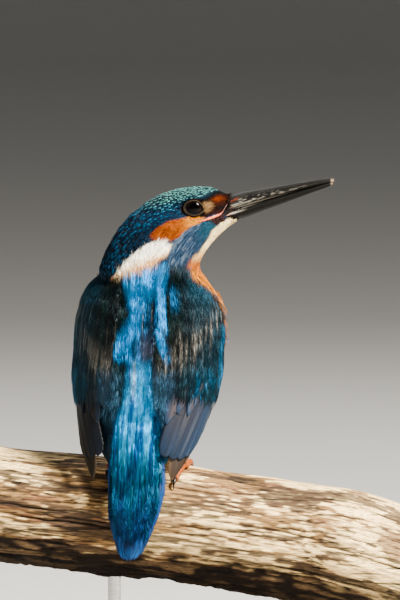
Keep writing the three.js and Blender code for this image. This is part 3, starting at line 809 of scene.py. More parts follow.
# ---------------------------------------------------------------- feathers
def ribbons(surface, roots, normals, ways, length, width, lift, shares, camber, start=0.4, full=0.5, tip=0.0):
    """Closed narrow blades that lie along a surface from their roots. Shares are their cross sections'
    places, and the last is their point. Gives corners, faces and the number of corners of each."""
    spots, ups, headings = [roots], [normals], []
    way = ways
    for before, share in zip(shares, shares[1:]):
        headings.append(way)
        ahead, up = surface.nearest(spots[-1] + way * (length * (share - before))[:, None])
        way = unit(ahead - spots[-1] + way * 1e-3)
        way = unit(way - up * dot(way, up)[:, None])
        spots.append(ahead)
        ups.append(up)
    headings.append(way)
    rings = []
    for share, spot, up, way in zip(shares, spots, ups, headings):
        raised = spot + up * (lift * (0.12 + 0.88 * share ** 0.7))[:, None]
        if share == 1:
            rings.append(raised[:, None, :])
            continue
        round_off = max(share - full, 0) / (1 - full)
        half = width / 2 * min(start + (1 - start) * share / full, 1) * (1 - (1 - tip) * round_off ** 2)
        side = np.cross(up, way) * half[:, None]
        crown = raised + up * (width * camber)[:, None]
        rings.append(np.stack([raised - side, crown, raised + side], axis=1))
    grid = np.concatenate(rings, axis=1)
    per = grid.shape[1]
    last = per - 4
    faces = [(0, 1, 2), (last, per - 1, last + 1), (last + 1, per - 1, last + 2), (last + 2, per - 1, last)]
    for a in range(0, last, 3):
        for i, j in ((0, 1), (1, 2), (2, 0)):
            faces += [(a + i, a + i + 3, a + j), (a + j, a + i + 3, a + j + 3)]
    faces = np.array(faces)[:, ::-1]
    every = (faces[None] + np.arange(len(roots))[:, None, None] * per).reshape(-1, 3)
    return grid.reshape(-1, 3), every, per


def plumes(surface, rng, kind):
    """One kind of feather over part of a surface, each one blade or several strands side by side."""
    roots, normals = surface.scatter(kind["gap"], kind["where"], rng)
    size = kind["size"](roots) if "size" in kind else np.ones(len(roots))
    way = lie(roots, normals)
    clump = kind.get("clump", 0.22) * grain(roots, 2.5, 21)
    way = unit(way + np.cross(normals, way) * (rng.normal(0, kind["turn"], len(roots)) + clump)[:, None])
    length = kind["length"] * size * rng.uniform(0.85, 1.15, len(roots))
    lift = kind["lift"] * size * (0.8 + 0.3 * grain(roots, 3, 22) + rng.uniform(-0.15, 0.15, len(roots)))
    count = kind.get("strands", 1)
    spread = np.tile(np.linspace(-1, 1, count) if count > 1 else np.zeros(1), len(roots))
    roots, normals, way, length, lift, size = (
        np.repeat(v, count, axis=0) for v in (roots, normals, way, length, lift, size))
    spread = spread + rng.normal(0, 0.14, len(spread)) * (count > 1)
    side = np.cross(normals, way)
    roots = roots + side * (spread * kind.get("set_out", 0) * size)[:, None]
    roots = roots - way * (rng.uniform(0, kind.get("stagger", 0), len(spread)) * length)[:, None]
    way = unit(way + side * (spread * kind.get("fan", 0))[:, None])
    length = length * (1 - 0.16 * spread ** 2 + rng.normal(0, kind.get("ragged", 0.05), len(spread)))
    lift = lift * (1 - 0.12 * spread ** 2)
    shares = kind["shares"]
    corners, faces, per = ribbons(surface, roots, normals, way, length, kind["width"] * size, lift, shares,
                                  kind.get("camber", 0.12))
    chance = np.exp(rng.normal(0, kind["contrast"], len(roots)))
    ring = np.array([k for k, share in enumerate(shares) for _ in range(1 if share == 1 else 3)])
    banding = np.array(kind.get("bars", [0] * len(shares)), float)[ring]
    # The strands are painted darker towards their roots, down to this share of their colour: painted shade
    # deep in the coat.
    at_root = kind.get("depth", 0.45)
    depth = (at_root + (1 - at_root) * np.clip(np.array(shares) / 0.6, 0, 1))[ring]
    crowns = corners.reshape(len(roots), per, 3)[:, list(range(1, per - 1, 3)) + [per - 1]]
    looks = plumage(crowns.reshape(-1, 3))
    base, bar, barred = (v.reshape(len(roots), len(shares), -1)[:, ring] for v in looks)
    spotted = barred[..., 0] * banding[None] * step(0.56, 0.3, np.abs(spread))[:, None]
    tone = mix(base, bar, spotted) * (chance[:, None] * depth[None])[..., None]
    across = np.array([0, 0.5, 1] * (len(shares) - 1) + [0.5])
    patch = np.stack([across, np.array(shares)[ring]], axis=1) - 0.5
    return {"corners": corners, "faces": faces, "tone": tone.reshape(-1, 3),
            "spots": np.repeat(chart(roots), per, axis=0), "patch": np.tile(patch, (len(roots), 1))}


CHART_MIDDLE = [(-20, -22), (20, -8), (60, 2)]  # the line that the unwrap goes round: (up, forwards)


def chart(p):
    """Where a bird place lies on an unwrap of the skin: round the body, and along it."""
    x, y, z = p.T
    along, up, left = in_head(p)
    head = step(66, 74, z)
    round_body = np.arctan2(x, y - along_line(CHART_MIDDLE, z))
    round_head = np.arctan2(left, (up - 78) - 0.6 * (along - 8) + 0.01)
    return np.stack([round_body * (1 - head) + round_head * head,
                     z * (1 - head) + (70 + 0.7 * along + 0.7 * (z - 70)) * head], axis=1)


PATCH = 0.003  # the width of a feather's patch on the bake map
MARGIN = 0.01


def bake_map(mesh, spots, patch):
    """Gives each feather a small patch at its root's place on the unwrapped skin."""
    low, high = spots.min(0), spots.max(0)
    corner = MARGIN + (1 - 2 * MARGIN) * (spots - low) / (high - low) + PATCH * patch
    loops = np.zeros(len(mesh.loops), np.int32)
    mesh.loops.foreach_get("vertex_index", loops)
    layer = mesh.uv_layers.new(name="OFBake")
    layer.uv.foreach_set("vector", corner[loops].astype(np.float32).ravel())


def coat_piece(name, surface, material, seed, kinds):
    """One piece of the coat, made of several kinds of feathers."""
    rng = np.random.default_rng(seed)
    made = [plumes(surface, rng, kind) for kind in kinds]
    starts = np.cumsum([0] + [len(m["corners"]) for m in made])
    joined = {part: np.concatenate([m[part] for m in made]) for part in ("corners", "tone", "spots", "patch")}
    faces = np.concatenate([m["faces"] + start for m, start in zip(made, starts)])
    mesh = mesh_from(name, joined["corners"], faces)
    paint(mesh, joined["tone"])
    bake_map(mesh, joined["spots"], joined["patch"])
    piece = mesh_object(name, mesh, material)
    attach(piece, BODY)
    print(name, len(faces), "triangles")
    return piece


# ---------------------------------------------------------------- round shapes
def tube(name, around, rings, place, insets=()):
    """A closed round shape: place(share, angle, out) gives the bird places of its wall, from share 0
    to 1 along it. Out is 1 on the wall, and the insets on its ends."""
    bm = bmesh.new()
    bmesh.ops.create_cone(bm, cap_ends=False, segments=around, radius1=1, radius2=1, depth=1)
    long_edges = [e for e in bm.edges if abs(e.verts[0].co.z - e.verts[1].co.z) > 0.5]
    bmesh.ops.subdivide_edges(bm, edges=long_edges, cuts=rings - 2)
    rims = [[e for e in bm.edges if e.is_boundary and e.verts[0].co.z * end > 0] for end in (-1, 1)]
    for rim in rims:
        out = 1
        for inset in insets:
            grown = bmesh.ops.extrude_edge_only(bm, edges=rim)["geom"]
            rim = [e for e in grown if isinstance(e, bmesh.types.BMEdge)]
            scale = Vector((inset / out, inset / out, 1))
            bmesh.ops.scale(bm, vec=scale, verts=list({v for e in rim for v in e.verts}))
            out = inset
        bmesh.ops.contextual_create(bm, geom=rim)
    mesh = made_mesh(name, bm)
    x, y, z = raw_places(mesh).T
    share, angle, out = z + 0.5, np.arctan2(x, y), np.minimum(np.hypot(x, y), 1)
    out = np.where(out > 0.9999, 1, out)
    set_places(mesh, place(share, angle, out))
    return mesh, share, angle, out


def point_out(mesh):
    """Turns a closed mesh's faces outwards."""
    bm = bmesh.new()
    bm.from_mesh(mesh)
    bmesh.ops.recalc_face_normals(bm, faces=bm.faces)
    bm.to_mesh(mesh)
    bm.free()


def curve_through(stations, share):
    """A smooth curve through rows of numbers, at shares 0 to 1 of the way along them."""
    rows = np.array(stations, float)
    spot = np.clip(share, 0, 1) * (len(rows) - 1)
    i = np.clip(spot.astype(int), 0, len(rows) - 2)
    t = (spot - i)[:, None]
    before, a, b, after = (rows[np.clip(i + k, 0, len(rows) - 1)] for k in (-1, 0, 1, 2))
    slope_a, slope_b = (b - before) / 2, (after - a) / 2
    return (a * (1 + 2 * t) * (1 - t) ** 2 + slope_a * t * (1 - t) ** 2
            + b * t ** 2 * (3 - 2 * t) - slope_b * t ** 2 * (1 - t))


def shown(piece, slot, *nodes):
    """The piece rides on the one body and stands for some nodes. Its slot is not used."""
    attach(piece, BODY)
    if nodes:
        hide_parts(*nodes)
    return piece


EYE_BALL = 4.1  # the eyeball's radius
EYE_SET_IN = 7.1  # how far its middle lies from the head's mid plane
EYE_MIDDLE = (EYE_ALONG + 0.45, EYE_UP + 0.25)  # along and up
EYE_HALF = (2.85, 2.14)  # half the opening's length and height


# ---------------------------------------------------------------- the coat
EYE_OPENING = 2.65  # no feather grows nearer than this to an eye's middle
CHIN_END = 31.2  # nor further forwards than this under the bill
# The lower edge of the small wing coverts: (out from the middle, up).
COVERT_EDGE = [(6, 32), (7.5, 28.5), (10, 27), (13, 28), (15.5, 29), (18, 28.5), (20.5, 28), (23, 27.5),
               (26, 26.5)]
RUMP_SIDE = 6.3  # how far out the folded wing steps down to the rump
# How far from its middle the long coat of the tail reaches: (up, half its width).
TAIL_COAT = [(-19, 0), (-18, 3.4), (-15, 5.6), (-8, 8.0), (0, 9.0), (8, 9.6), (27, 10.4)]


def on_hood(p):
    along, up, _ = in_head(p)
    bare = (along > along_line(BILL_BASE, up) - 0.2) | (along > CHIN_END)
    return (up > along_line(HOOD_EDGE, along) - 0.3) & (around_eye(p) > EYE_OPENING) & ~bare


def around_eye(p):
    """The distance from the nearer eye's middle, seen from the side."""
    along, up, _ = in_head(p)
    return np.hypot((along - EYE_MIDDLE[0]) / 1.28, up - EYE_MIDDLE[1])


def small_on_face(p):
    """The size of feathers: 1 on the nape, about half on the face."""
    return 1 - 0.5 * near_face(p)


def fairly_small(p):
    """The size of the outer feathers: 1 on the nape, two thirds on the face."""
    return 1 - 0.45 * near_face(p)


def even(gap):
    return lambda p: np.full(len(p), gap)


def coats(form):
    cool = tinted_material("blue plumage", 0.45, 0.1, 0.3, stretch=(1, 1, 0.25), Specular_IOR_Level=0.11,
                           Specular_Tint=(0.6, 0.85, 1.0, 1))
    warm = tinted_material("warm plumage", 0.6, 0.1, 0.3, stretch=(1, 1, 0.25), Specular_IOR_Level=0.04)
    body = lambda p: ~on_hood(p) & (in_head(p)[1] <= along_line(HOOD_EDGE, in_head(p)[0]))
    ahead = lambda p: p[:, 1] - along_line(WING_FRONT, p[:, 2])
    on_tips = lambda p: (p[:, 2] < 14) & (np.abs(p[:, 0]) > 10.5) & (p[:, 1] < -8)
    front = lambda p: body(p) & (ahead(p) >= -0.5) & (p[:, 2] > -14) & ~on_tips(p)
    behind = lambda p: body(p) & (ahead(p) < 0.5)
    tail_top = lambda p: (behind(p) & (p[:, 2] <= 27) & (np.abs(p[:, 0] - 1) < along_line(TAIL_COAT, p[:, 2]))
                          & (p[:, 1] < np.interp(p[:, 2], [-24, -2, 27], [-27, -23.5, -16])))
    step_in = lambda p: (np.abs(np.abs(p[:, 0]) - RUMP_SIDE) < 0.7) & (p[:, 2] < 28)
    covert_edge = lambda p: along_line(COVERT_EDGE, np.abs(p[:, 0])) + 1.2 * grain(p, 2.2, 33)
    low_edge = lambda p: np.where(np.abs(p[:, 0]) > RUMP_SIDE, covert_edge(p), 20)
    wing_or_back = lambda p: behind(p) & ~step_in(p) & (p[:, 2] > low_edge(p))
    half = lambda right: (lambda p: wing_or_back(p) & ((p[:, 0] > 0.5) == right))
    backing = {"shares": (0, 0.35, 0.7, 1), "turn": 0.06, "contrast": 0.1, "lift": 0.3, "camber": 0.05}
    silky = {"shares": (0, 0.5, 1), "turn": 0.06, "contrast": 0.3, "lift": 0.85, "strands": 10, "fan": 0.15,
             "camber": 0.2, "clump": 0.14, "stagger": 0.3}
    barred = {"shares": (0, 0.45, 0.53, 0.59, 0.92, 1), "bars": (0, 0, 0, 1, 1, 0), "turn": 0.05,
              "contrast": 0.2, "lift": 0.65, "strands": 8, "fan": 0.16, "size": fairly_small, "set_out": 0.62,
              "ragged": 0.03, "clump": 0.12}
    fine = {"shares": (0, 0.4, 0.75, 1), "turn": 0.05, "contrast": 0.06, "lift": 0.22, "strands": 9,
            "fan": 0.04, "size": fairly_small, "set_out": 0.9, "depth": 1, "camber": 0.03, "clump": 0.1,
            "stagger": 0.8}
    on_side = lambda right: (lambda p: on_hood(p) & ((in_head(p)[2] < 0) == right))
    head_backing = {**backing, "gap": lambda p: 1.1 * small_on_face(p), "length": 2.8, "width": 1.7,
                    "size": small_on_face}
    for side, seed in (("right", 11), ("left", 21)):
        here = on_side(side == "right")
        plain = lambda p: here(p) & (silky_part(p) <= 0.5)
        smooth = lambda p: here(p) & (silky_part(p) > 0.5)
        coat_piece(f"coat_crown_{side}", form, cool, seed, [
            {**head_backing, "where": plain},
            {**barred, "gap": lambda p: 1.3 * fairly_small(p), "where": plain, "length": 3.8, "width": 0.28},
        ])
        coat_piece(f"coat_cheek_{side}", form, warm, seed + 1, [
            {**head_backing, "where": smooth, "depth": 0.9, "lift": 0.05, "camber": 0.02},
            {**fine, "gap": lambda p: 1.05 * fairly_small(p), "where": smooth, "length": 7, "width": 0.26},
        ])
    for name, where, seed in (("coat_back_right", half(True), 13), ("coat_back_left", half(False), 14)):
        coat_piece(name, form, cool, seed, [
            {**backing, "gap": even(1.5), "where": where, "length": 5, "width": 2.4},
            {**silky, "gap": even(0.92), "where": where, "length": 8, "width": 0.25, "set_out": 0.8,
             "strands": 11, "contrast": 0.22, "depth": 0.6},
        ])
    coat_piece("coat_tail", form, cool, 15, [
        {**backing, "gap": even(1.5), "where": tail_top, "length": 6, "width": 2.2},
        {**silky, "gap": even(0.82), "where": tail_top, "length": 9.5, "width": 0.25, "set_out": 0.75,
         "fan": 0.03, "ragged": 0.12, "turn": 0.015, "clump": 0.05, "contrast": 0.14, "depth": 0.75},
    ])
    flank = lambda p: front(p) & (ahead(p) < 7) & (p[:, 2] > 44.5) & (p[:, 2] < 60) & (p[:, 0] > 0)
    coat_piece("coat_breast", form, warm, 16, [
        {**backing, "gap": even(1.6), "where": front, "length": 5, "width": 2.4},
        {**silky, "gap": even(1.5), "where": front, "length": 6.5, "width": 0.34, "set_out": 0.85,
         "contrast": 0.18},
        {**silky, "gap": even(2.0), "where": flank, "length": 5.5, "width": 0.34, "set_out": 0.85,
         "contrast": 0.18, "lift": 2.4},
    ])


OVER_FLIGHT = 1.1  # how far the wing coverts stand out to pass over the flight feathers' roots
OVER_TAIL = 1.9  # and the long tail coverts over the tail
BED_VOXEL = 0.6


def feather_bed():
    """The surface that the coat lies on: the skin's, carried on over the flight feathers and the tail."""
    piece = sunk_copy("bed", FLESH + FLIGHT + ["tail_feathers"], BED_VOXEL)
    spots = places(piece.data)
    x, y, z = spots.T
    over = OVER_FLIGHT * step(40, 33, z) * step(14, 18, z) * step(5.5, 8, np.abs(x - 0.5))
    over = over * (y < along_line(WING_FRONT, z) + 1)
    over = np.maximum(over, OVER_TAIL * step(-4, -15, z) * (y < -24.5))
    set_places(piece.data, spots + corner_normals(piece.data) * over[:, None])
    surface = Surface(piece.data)
    bpy.data.meshes.remove(piece.data)
    return surface


bed = feather_bed()
coats(bed)


# ---------------------------------------------------------------- flight feathers and tail feathers
# The folded wing's outside by height: half its width, how far it stands back, and its axis.
WING_HEIGHTS = [-24, -15, -6, 5, 16, 29, 43]
WING_SIDE = np.polyfit(WING_HEIGHTS, [10, 14, 17.4, 20.8, 23.7, 26, 27.5], 3)
WING_BACK = np.polyfit(WING_HEIGHTS, [1, 3, 6, 11, 16.2, 21.4, 22.8], 3)
WING_FORE = np.polyfit(WING_HEIGHTS, [1, 3, 6, 13, 19, 23, 24.5], 3)
WING_AXIS = np.polyfit(WING_HEIGHTS, [-27, -24, -21.5, -16.5, -10, -3.5, 0], 3)


def on_wing(hand):
    """Places on the folded wing's outside, by the turn from straight back, in radians, and the height."""
    def place(turn, z):
        reach = np.where(np.cos(turn) > 0, np.polyval(WING_BACK, z), np.polyval(WING_FORE, z))
        return np.stack([hand * np.polyval(WING_SIDE, z) * np.sin(turn),
                         np.polyval(WING_AXIS, z) - reach * np.cos(turn), z], axis=-1)
    return place


def on_tail(x, z):
    """Places on the tail's upper face, by the distance from its middle and the height."""
    ridge = np.interp(z, [-31.4, -27, -17, -7, 4, 14], [-28.7, -27.9, -27.4, -26, -23.7, -20.6])
    middle_x = np.interp(z, [-31.4, -17, -7, 4, 14], [0.3, 1.1, 1.9, 1.2, 0.6])
    return np.stack([middle_x + x, ridge + 0.006 * x ** 2, z + 0 * x], axis=-1)


VANE_ROWS, VANE_ACROSS = 44, 13
VANE_THICK = 0.22


def vane(place, root, tip, widths, lift, hand, rng, bow=0.0, curl=0.05, sink=None, end=(0.8, 2, 0.5)):
    """A closed feather blade over place(a, b): its corners, and where each is along and across it.
    Widths are those of its inner and its outer web, hand says on which side its outer web is, lift is
    how far out it lies at its root and at its tip, and end shapes the tip: where it starts, and how."""
    along = np.repeat(np.linspace(0, 1, VANE_ROWS), VANE_ACROSS)
    spread = np.linspace(-1, 1, VANE_ACROSS)
    across = np.tile(np.sign(spread) * np.abs(spread) ** 1.25, VANE_ROWS)
    a = root[0] + (tip[0] - root[0]) * along + bow * np.sin(np.pi * along)
    b = root[1] + (tip[1] - root[1]) * along
    small = 1e-3
    ahead_a = (tip[0] - root[0]) + bow * np.pi * np.cos(np.pi * along)
    ahead_b = tip[1] - root[1]
    here = place(a, b)
    by_a = (place(a + small, b) - here) / small
    by_b = (place(a, b + small) - here) / small
    out = unit(np.cross(by_a, by_b))
    out = out * np.sign(dot(out, here * (1, 1, 0)))[:, None]
    ahead = unit(by_a * ahead_a[:, None] + by_b * ahead_b)
    side = np.cross(out, ahead)
    starts, power, root_power = end
    tapered = (1 - np.clip((along - starts) / (1 - starts), 0, 1) ** power) ** root_power
    shape = np.maximum((0.5 + 0.5 * step(0, 0.4, along)) * tapered, 0.03)
    ragged = 1 + 0.04 * rng.standard_normal(VANE_ROWS * VANE_ACROSS) * (np.abs(across) == 1)
    half = np.where(across * hand < 0, widths[0], widths[1]) * shape * ragged
    # The web is laid over the shape's curve, not straight out from the shaft.
    step_side = side * (across * half)[:, None]
    da = dot(step_side, by_a) / dot(by_a, by_a)
    db = dot(step_side, by_b) / dot(by_b, by_b)
    top = place(a + da, b + db)
    height = lift[0] + (lift[1] - lift[0]) * along + 0.14 * (1 - across ** 2) - curl * across ** 2
    height = height + 0.16 * np.exp(-(across / 0.1) ** 2) * (1 - 0.6 * along)
    if sink is not None:
        height = height - sink(b)
    upper = top + out * height[:, None]
    lower = top + out * (height - VANE_THICK)[:, None]
    n = len(along)
    grid = np.arange(n).reshape(VANE_ROWS, VANE_ACROSS)
    quads = [(grid[i, j], grid[i, j + 1], grid[i + 1, j + 1], grid[i + 1, j])
             for i in range(VANE_ROWS - 1) for j in range(VANE_ACROSS - 1)]
    rim = np.concatenate([grid[0, :], grid[1:, -1], grid[-1, -2::-1], grid[-2:0:-1, 0]])
    walls = [(p, p + n, q + n, q) for p, q in zip(rim, np.roll(rim, -1))]
    under = [tuple(c + n for c in reversed(q)) for q in quads]
    faces = np.array(quads + under + [tuple(reversed(w)) for w in walls])
    barb = along * np.hypot(*(np.array(root) - tip)) - 0.9 * np.abs(across) * half
    return {"corners": np.concatenate([upper, lower]), "faces": faces, "along": np.tile(along, 2),
            "across": np.tile(across * hand, 2), "barb": np.tile(barb, 2)}


def blades(name, made, tones, material, slot, *nodes):
    """Joins feather blades into one piece."""
    starts = np.cumsum([0] + [len(m["corners"]) for m in made])
    mesh = mesh_from(name, np.concatenate([m["corners"] for m in made]),
                     np.concatenate([m["faces"] + start for m, start in zip(made, starts)]))
    paint(mesh, np.concatenate(tones))
    barb = mesh.attributes.new("barb", "FLOAT", "POINT")
    barb.data.foreach_set("value", np.concatenate([m["barb"] for m in made]).astype(np.float32))
    point_out(mesh)
    return shown(mesh_object(name, mesh, material), slot, *nodes)


def vane_material():
    """The vanes' finish: their tint, fine slanting barbs and a silky gloss."""
    material = tinted_material("vane", 0.5, 0.16, 0.35, stretch=(1, 1, 0.2), Specular_IOR_Level=0.14)
    shader = material.node_tree.nodes["Principled BSDF"]
    barb = node(material, "ShaderNodeAttribute")
    barb.attribute_name = "barb"
    scaled = node(material, "ShaderNodeMath")
    scaled.operation = "MULTIPLY"
    link(material, barb.outputs["Fac"], scaled.inputs[0])
    scaled.inputs[1].default_value = math.tau / 0.42
    wave = node(material, "ShaderNodeMath")
    wave.operation = "SINE"
    link(material, scaled.outputs[0], wave.inputs[0])
    relief(material, shader, wave.outputs[0], 0.5, 0.03)
    return material


LEFT_FLIGHT_SHADE = 0.3  # the left wing's flight feathers keep the bird's own shade in their colour
SECONDARIES = 7


def wing_feathers(hand, material, rng):
    """The secondaries, tertials and primaries of one wing. Hand is 1 on the right, -1 on the left."""
    side = "right" if hand > 0 else "left"
    place = on_wing(hand)
    under_coverts = lambda z: 1.9 * step(26, 31, z)
    turn_at = lambda x, z: math.asin(min(x / np.polyval(WING_SIDE, z), 1))
    made, tones = [], []
    for i in reversed(range(SECONDARIES)):
        s = i / (SECONDARIES - 1)
        tip = (math.radians(36 + 62 * s),
               4.4 - 1.2 * math.sin(math.pi * min(s * 1.8, 1)) + 7.5 * step(0.45, 1, s))
        root_turn = tip[0] + math.radians(6 + 17 * math.sin(math.pi * (0.1 + 0.8 * s)))
        root = (min(root_turn, math.radians(97)), tip[1] + 31)
        high = -0.25 - 0.09 * i
        blade = vane(place, root, tip, (3.6, 2.8), (high - 0.15, high), hand, rng, sink=under_coverts,
                     end=(0.82, 2.2, 0.6))
        made.append(blade)
        tones.append(secondary_tones(blade, s, rng))
    for x, z, wide in ((20.6, 21.5, 2.3), (18.9, 18.4, 2.3), (15.8, 19.4, 2.4), (12.4, 15.8, 2.9)):
        tip = (turn_at(x, z), z)
        blade = vane(place, (tip[0] + 0.14, tip[1] + 16), tip, (wide, wide), (-0.3, 0.15), hand, rng,
                     sink=lambda b: 1.6 * step(29, 34, b), end=(0.55, 1.7, 0.8))
        made.append(blade)
        tones.append(tertial_tones(blade, rng))
    light = 1.0 if hand > 0 else LEFT_FLIGHT_SHADE
    tones = [t * light for t in tones]
    blades(f"wing_{side}_secondary_feathers", made, tones, material, "wing_flight",
           f"wing_{side}_secondaries")
    made, tones = [], []
    for x, z, width, drop in ((20.2, 3.6, 2.2, 5), (19.2, 1.9, 2.4, 4), (18.0, 0.3, 2.6, 3),
                              (16.8, -1.2, 2.8, 2), (15.7, -2.6, 3.0, 1), (14.7, -3.9, 3.2, 0)):
        tip = (turn_at(x, z), z)
        root = (math.radians(78), 30)
        high = -1.05 - 0.1 * drop
        blade = vane(place, root, tip, (width * 1.4, width * 0.7), (high - 0.3, high), hand, rng,
                     sink=lambda b: 1.2 * step(18, 26, b), end=(0.78, 1.5, 0.9))
        made.append(blade)
        tones.append(primary_tones(blade, rng))
    tones = [t * light for t in tones]
    blades(f"wing_{side}_primary_feathers", made, tones, material, "wing_tips", f"wing_{side}_primaries")


def lined(blade, rng, strength, fine=60):
    """Light and dark lines along a blade's barbs and a dark shaft."""
    along, across = blade["along"], blade["across"]
    lines = np.interp((across + 1) / 2 * fine + 3 * along, np.arange(fine + 8), rng.standard_normal(fine + 8))
    shaft = np.exp(-(across / 0.07) ** 2)
    return (1 + strength * lines) * (1 - 0.45 * shaft)


def edged(across, deep=0.5):
    """A thin dark line down each side of a blade, painted shade along its edges."""
    return 1 - deep * step(0.88, 0.97, np.abs(across))


def secondary_tones(blade, s, rng):
    along, across = blade["along"], blade["across"]
    tone = mix(INK["flight"], INK["flight_blue"], step(0.2, 1.0, s + 0 * along) * 0.7)
    tone = mix(tone, INK["flight_brown"], step(0.6, 0.0, s + 0 * along) * step(0.95, 0.5, along) * 0.45)
    tone = mix(tone, INK["covert_edge"], step(0.75, 0.9, across) * step(0.7, 1.0, s + 0 * along) * 0.6)
    tone = mix(tone, INK["tip"], step(0.95, 1.0, along) * 0.3)
    return tone * (lined(blade, rng, 0.07) * rng.uniform(0.74, 0.88) * edged(across, 0.75))[:, None]


def tertial_tones(blade, rng):
    along, across = blade["along"], blade["across"]
    tone = mix(INK["flight"], INK["flight_brown"], step(-0.9, 0.3, across) * 0.75 * step(1, 0.7, along))
    return tone * (lined(blade, rng, 0.12) * rng.uniform(1.35, 1.7) * edged(across, 0.6))[:, None]


def primary_tones(blade, rng):
    along, across = blade["along"], blade["across"]
    tone = mix(INK["tip"], INK["flight_brown"], step(0.6, 0.2, along))
    pale = np.clip(step(-0.7, -0.95, across) * 0.7 + step(0.95, 1, along) * 0.4, 0, 1)
    tone = mix(tone, INK["tip_edge"], pale)
    lines = lined(blade, rng, 0.1) * rng.uniform(0.85, 1.1)
    return tone * (lines * edged(np.maximum(across, 0), 0.6))[:, None]


TAIL_TIPS = [(0.6, -31.5), (1.9, -31.2), (2.9, -30.0), (3.7, -27.8), (4.5, -24.9), (5.4, -21.2)]
TAIL_ROOTS = [0.7, 1.8, 3.0, 4.2, 5.3, 6.4]


def tail_feathers(material, rng):
    """Twelve tail feathers, the middle pair on top."""
    made, tones = [], []
    for i in reversed(range(6)):
        for hand in (-1, 1):
            high = 0.95 - 0.3 * i + 0.08 * hand
            blade = vane(on_tail, (hand * TAIL_ROOTS[i], 12), (hand * TAIL_TIPS[i][0], TAIL_TIPS[i][1]),
                         (3.0, 2.5), (high - 0.5, high), hand, rng, bow=hand * 0.42 * i, end=(0.84, 2, 0.5))
            along, across = blade["along"], blade["across"]
            tone = mix(INK["tail"], INK["tail_dark"], step(0.1, -1, across) * 0.7)
            bright = step(0.3, 0.9, across) * (0.7 - 0.08 * i) * step(0.95, 0.8, along)
            tone = mix(tone, INK["tail_bright"], bright)
            tone = mix(tone, INK["tail_end"], step(0.84, 0.97, along) * 0.8)
            made.append(blade)
            tones.append(tone * (lined(blade, rng, 0.3, 30) * rng.uniform(0.8, 1.2) * edged(across))[:, None])
    blades("tail_fan", made, tones, material, "tail_feathers", "tail_feathers")


vane_finish = vane_material()
wing_feathers(1, vane_finish, np.random.default_rng(31))
wing_feathers(-1, vane_finish, np.random.default_rng(32))
tail_feathers(vane_finish, np.random.default_rng(33))


# ---------------------------------------------------------------- the branch
PERCH = {"length": 163, "middle": 25.0, "radius": 21.2, "fall": 0.08, "bow": 0.00013, "droop": 6.3e-6}


def branch_axis(x):
    return -PERCH["radius"] - PERCH["fall"] * x - PERCH["bow"] * x ** 2 - PERCH["droop"] * x ** 3


def branch_radius(x, angle):
    """How far the branch's surface stands from its axis. The angle runs from its top over its front."""
    ribs = 0.3 * np.sin(5 * angle + 0.02 * x + 1.1) + 0.2 * np.sin(9 * angle - 0.035 * x)
    bumps = 0.3 * np.sin(0.075 * x + 2.2 * np.cos(angle)) + 0.2 * np.sin(0.17 * x + 3 * angle)
    knot = 1.5 * np.exp(-((x - 74) / 12) ** 2) * step(0.2, 1, np.cos(angle + 0.9))
    rotten = 1.4 * step(0.6, 0.95, -np.cos(angle + 0.3)) * (0.6 + 0.4 * np.sin(0.13 * x))
    return PERCH["radius"] + 0.006 * x + ribs + bumps + knot - rotten


CRACKS = 120


def cracks(x, angle, rng):
    """How deep the long cracks are at places on the branch, in millimetres."""
    deep = np.zeros_like(x)
    for _ in range(CRACKS):
        at, turn = rng.uniform(-56, 94), rng.uniform(-math.pi, math.pi)
        reach, depth, wide = rng.uniform(4, 28), rng.uniform(0.3, 1.1), rng.uniform(0.009, 0.018)
        wave, slant = rng.uniform(0, 6.3), rng.normal(0, 0.0012)
        line = turn + slant * (x - at) + 0.012 * np.sin(0.21 * x + wave) + 0.006 * np.sin(0.63 * x + 2 * wave)
        off = np.abs((angle - line + math.pi) % math.tau - math.pi)
        along = np.clip(1 - ((x - at) / reach) ** 2, 0, 1)
        deep = np.maximum(deep, depth * np.exp(-(off / wide) ** 2) * along)
    return deep


def branch_finish():
    """Weathered wood: its own tint under fine fibres and thin dark checks along the grain."""
    material = tinted_material("weathered wood", 0.85, 0.5, 0.45, bump=0.1, stretch=(0.12, 1, 1),
                               Specular_IOR_Level=0.15)
    shader = material.node_tree.nodes["Principled BSDF"]
    colour = shader.inputs["Base Color"].links[0].from_socket
    for across, along, low, high, dark in ((0.32, 5, 0.36, 0.41, 0.5), (0.6, 9, 0.34, 0.39, 0.7),
                                           (1.5, 24, 0.36, 0.39, 0.8)):
        checks = noise_at(material, (along, across, across), 3.0, 0.3)
        colour = scaled_colour(material, colour, ranged(material, checks, (low, high), (1 - dark, 1.0)))
    link(material, colour, shader.inputs["Base Color"])
    return material


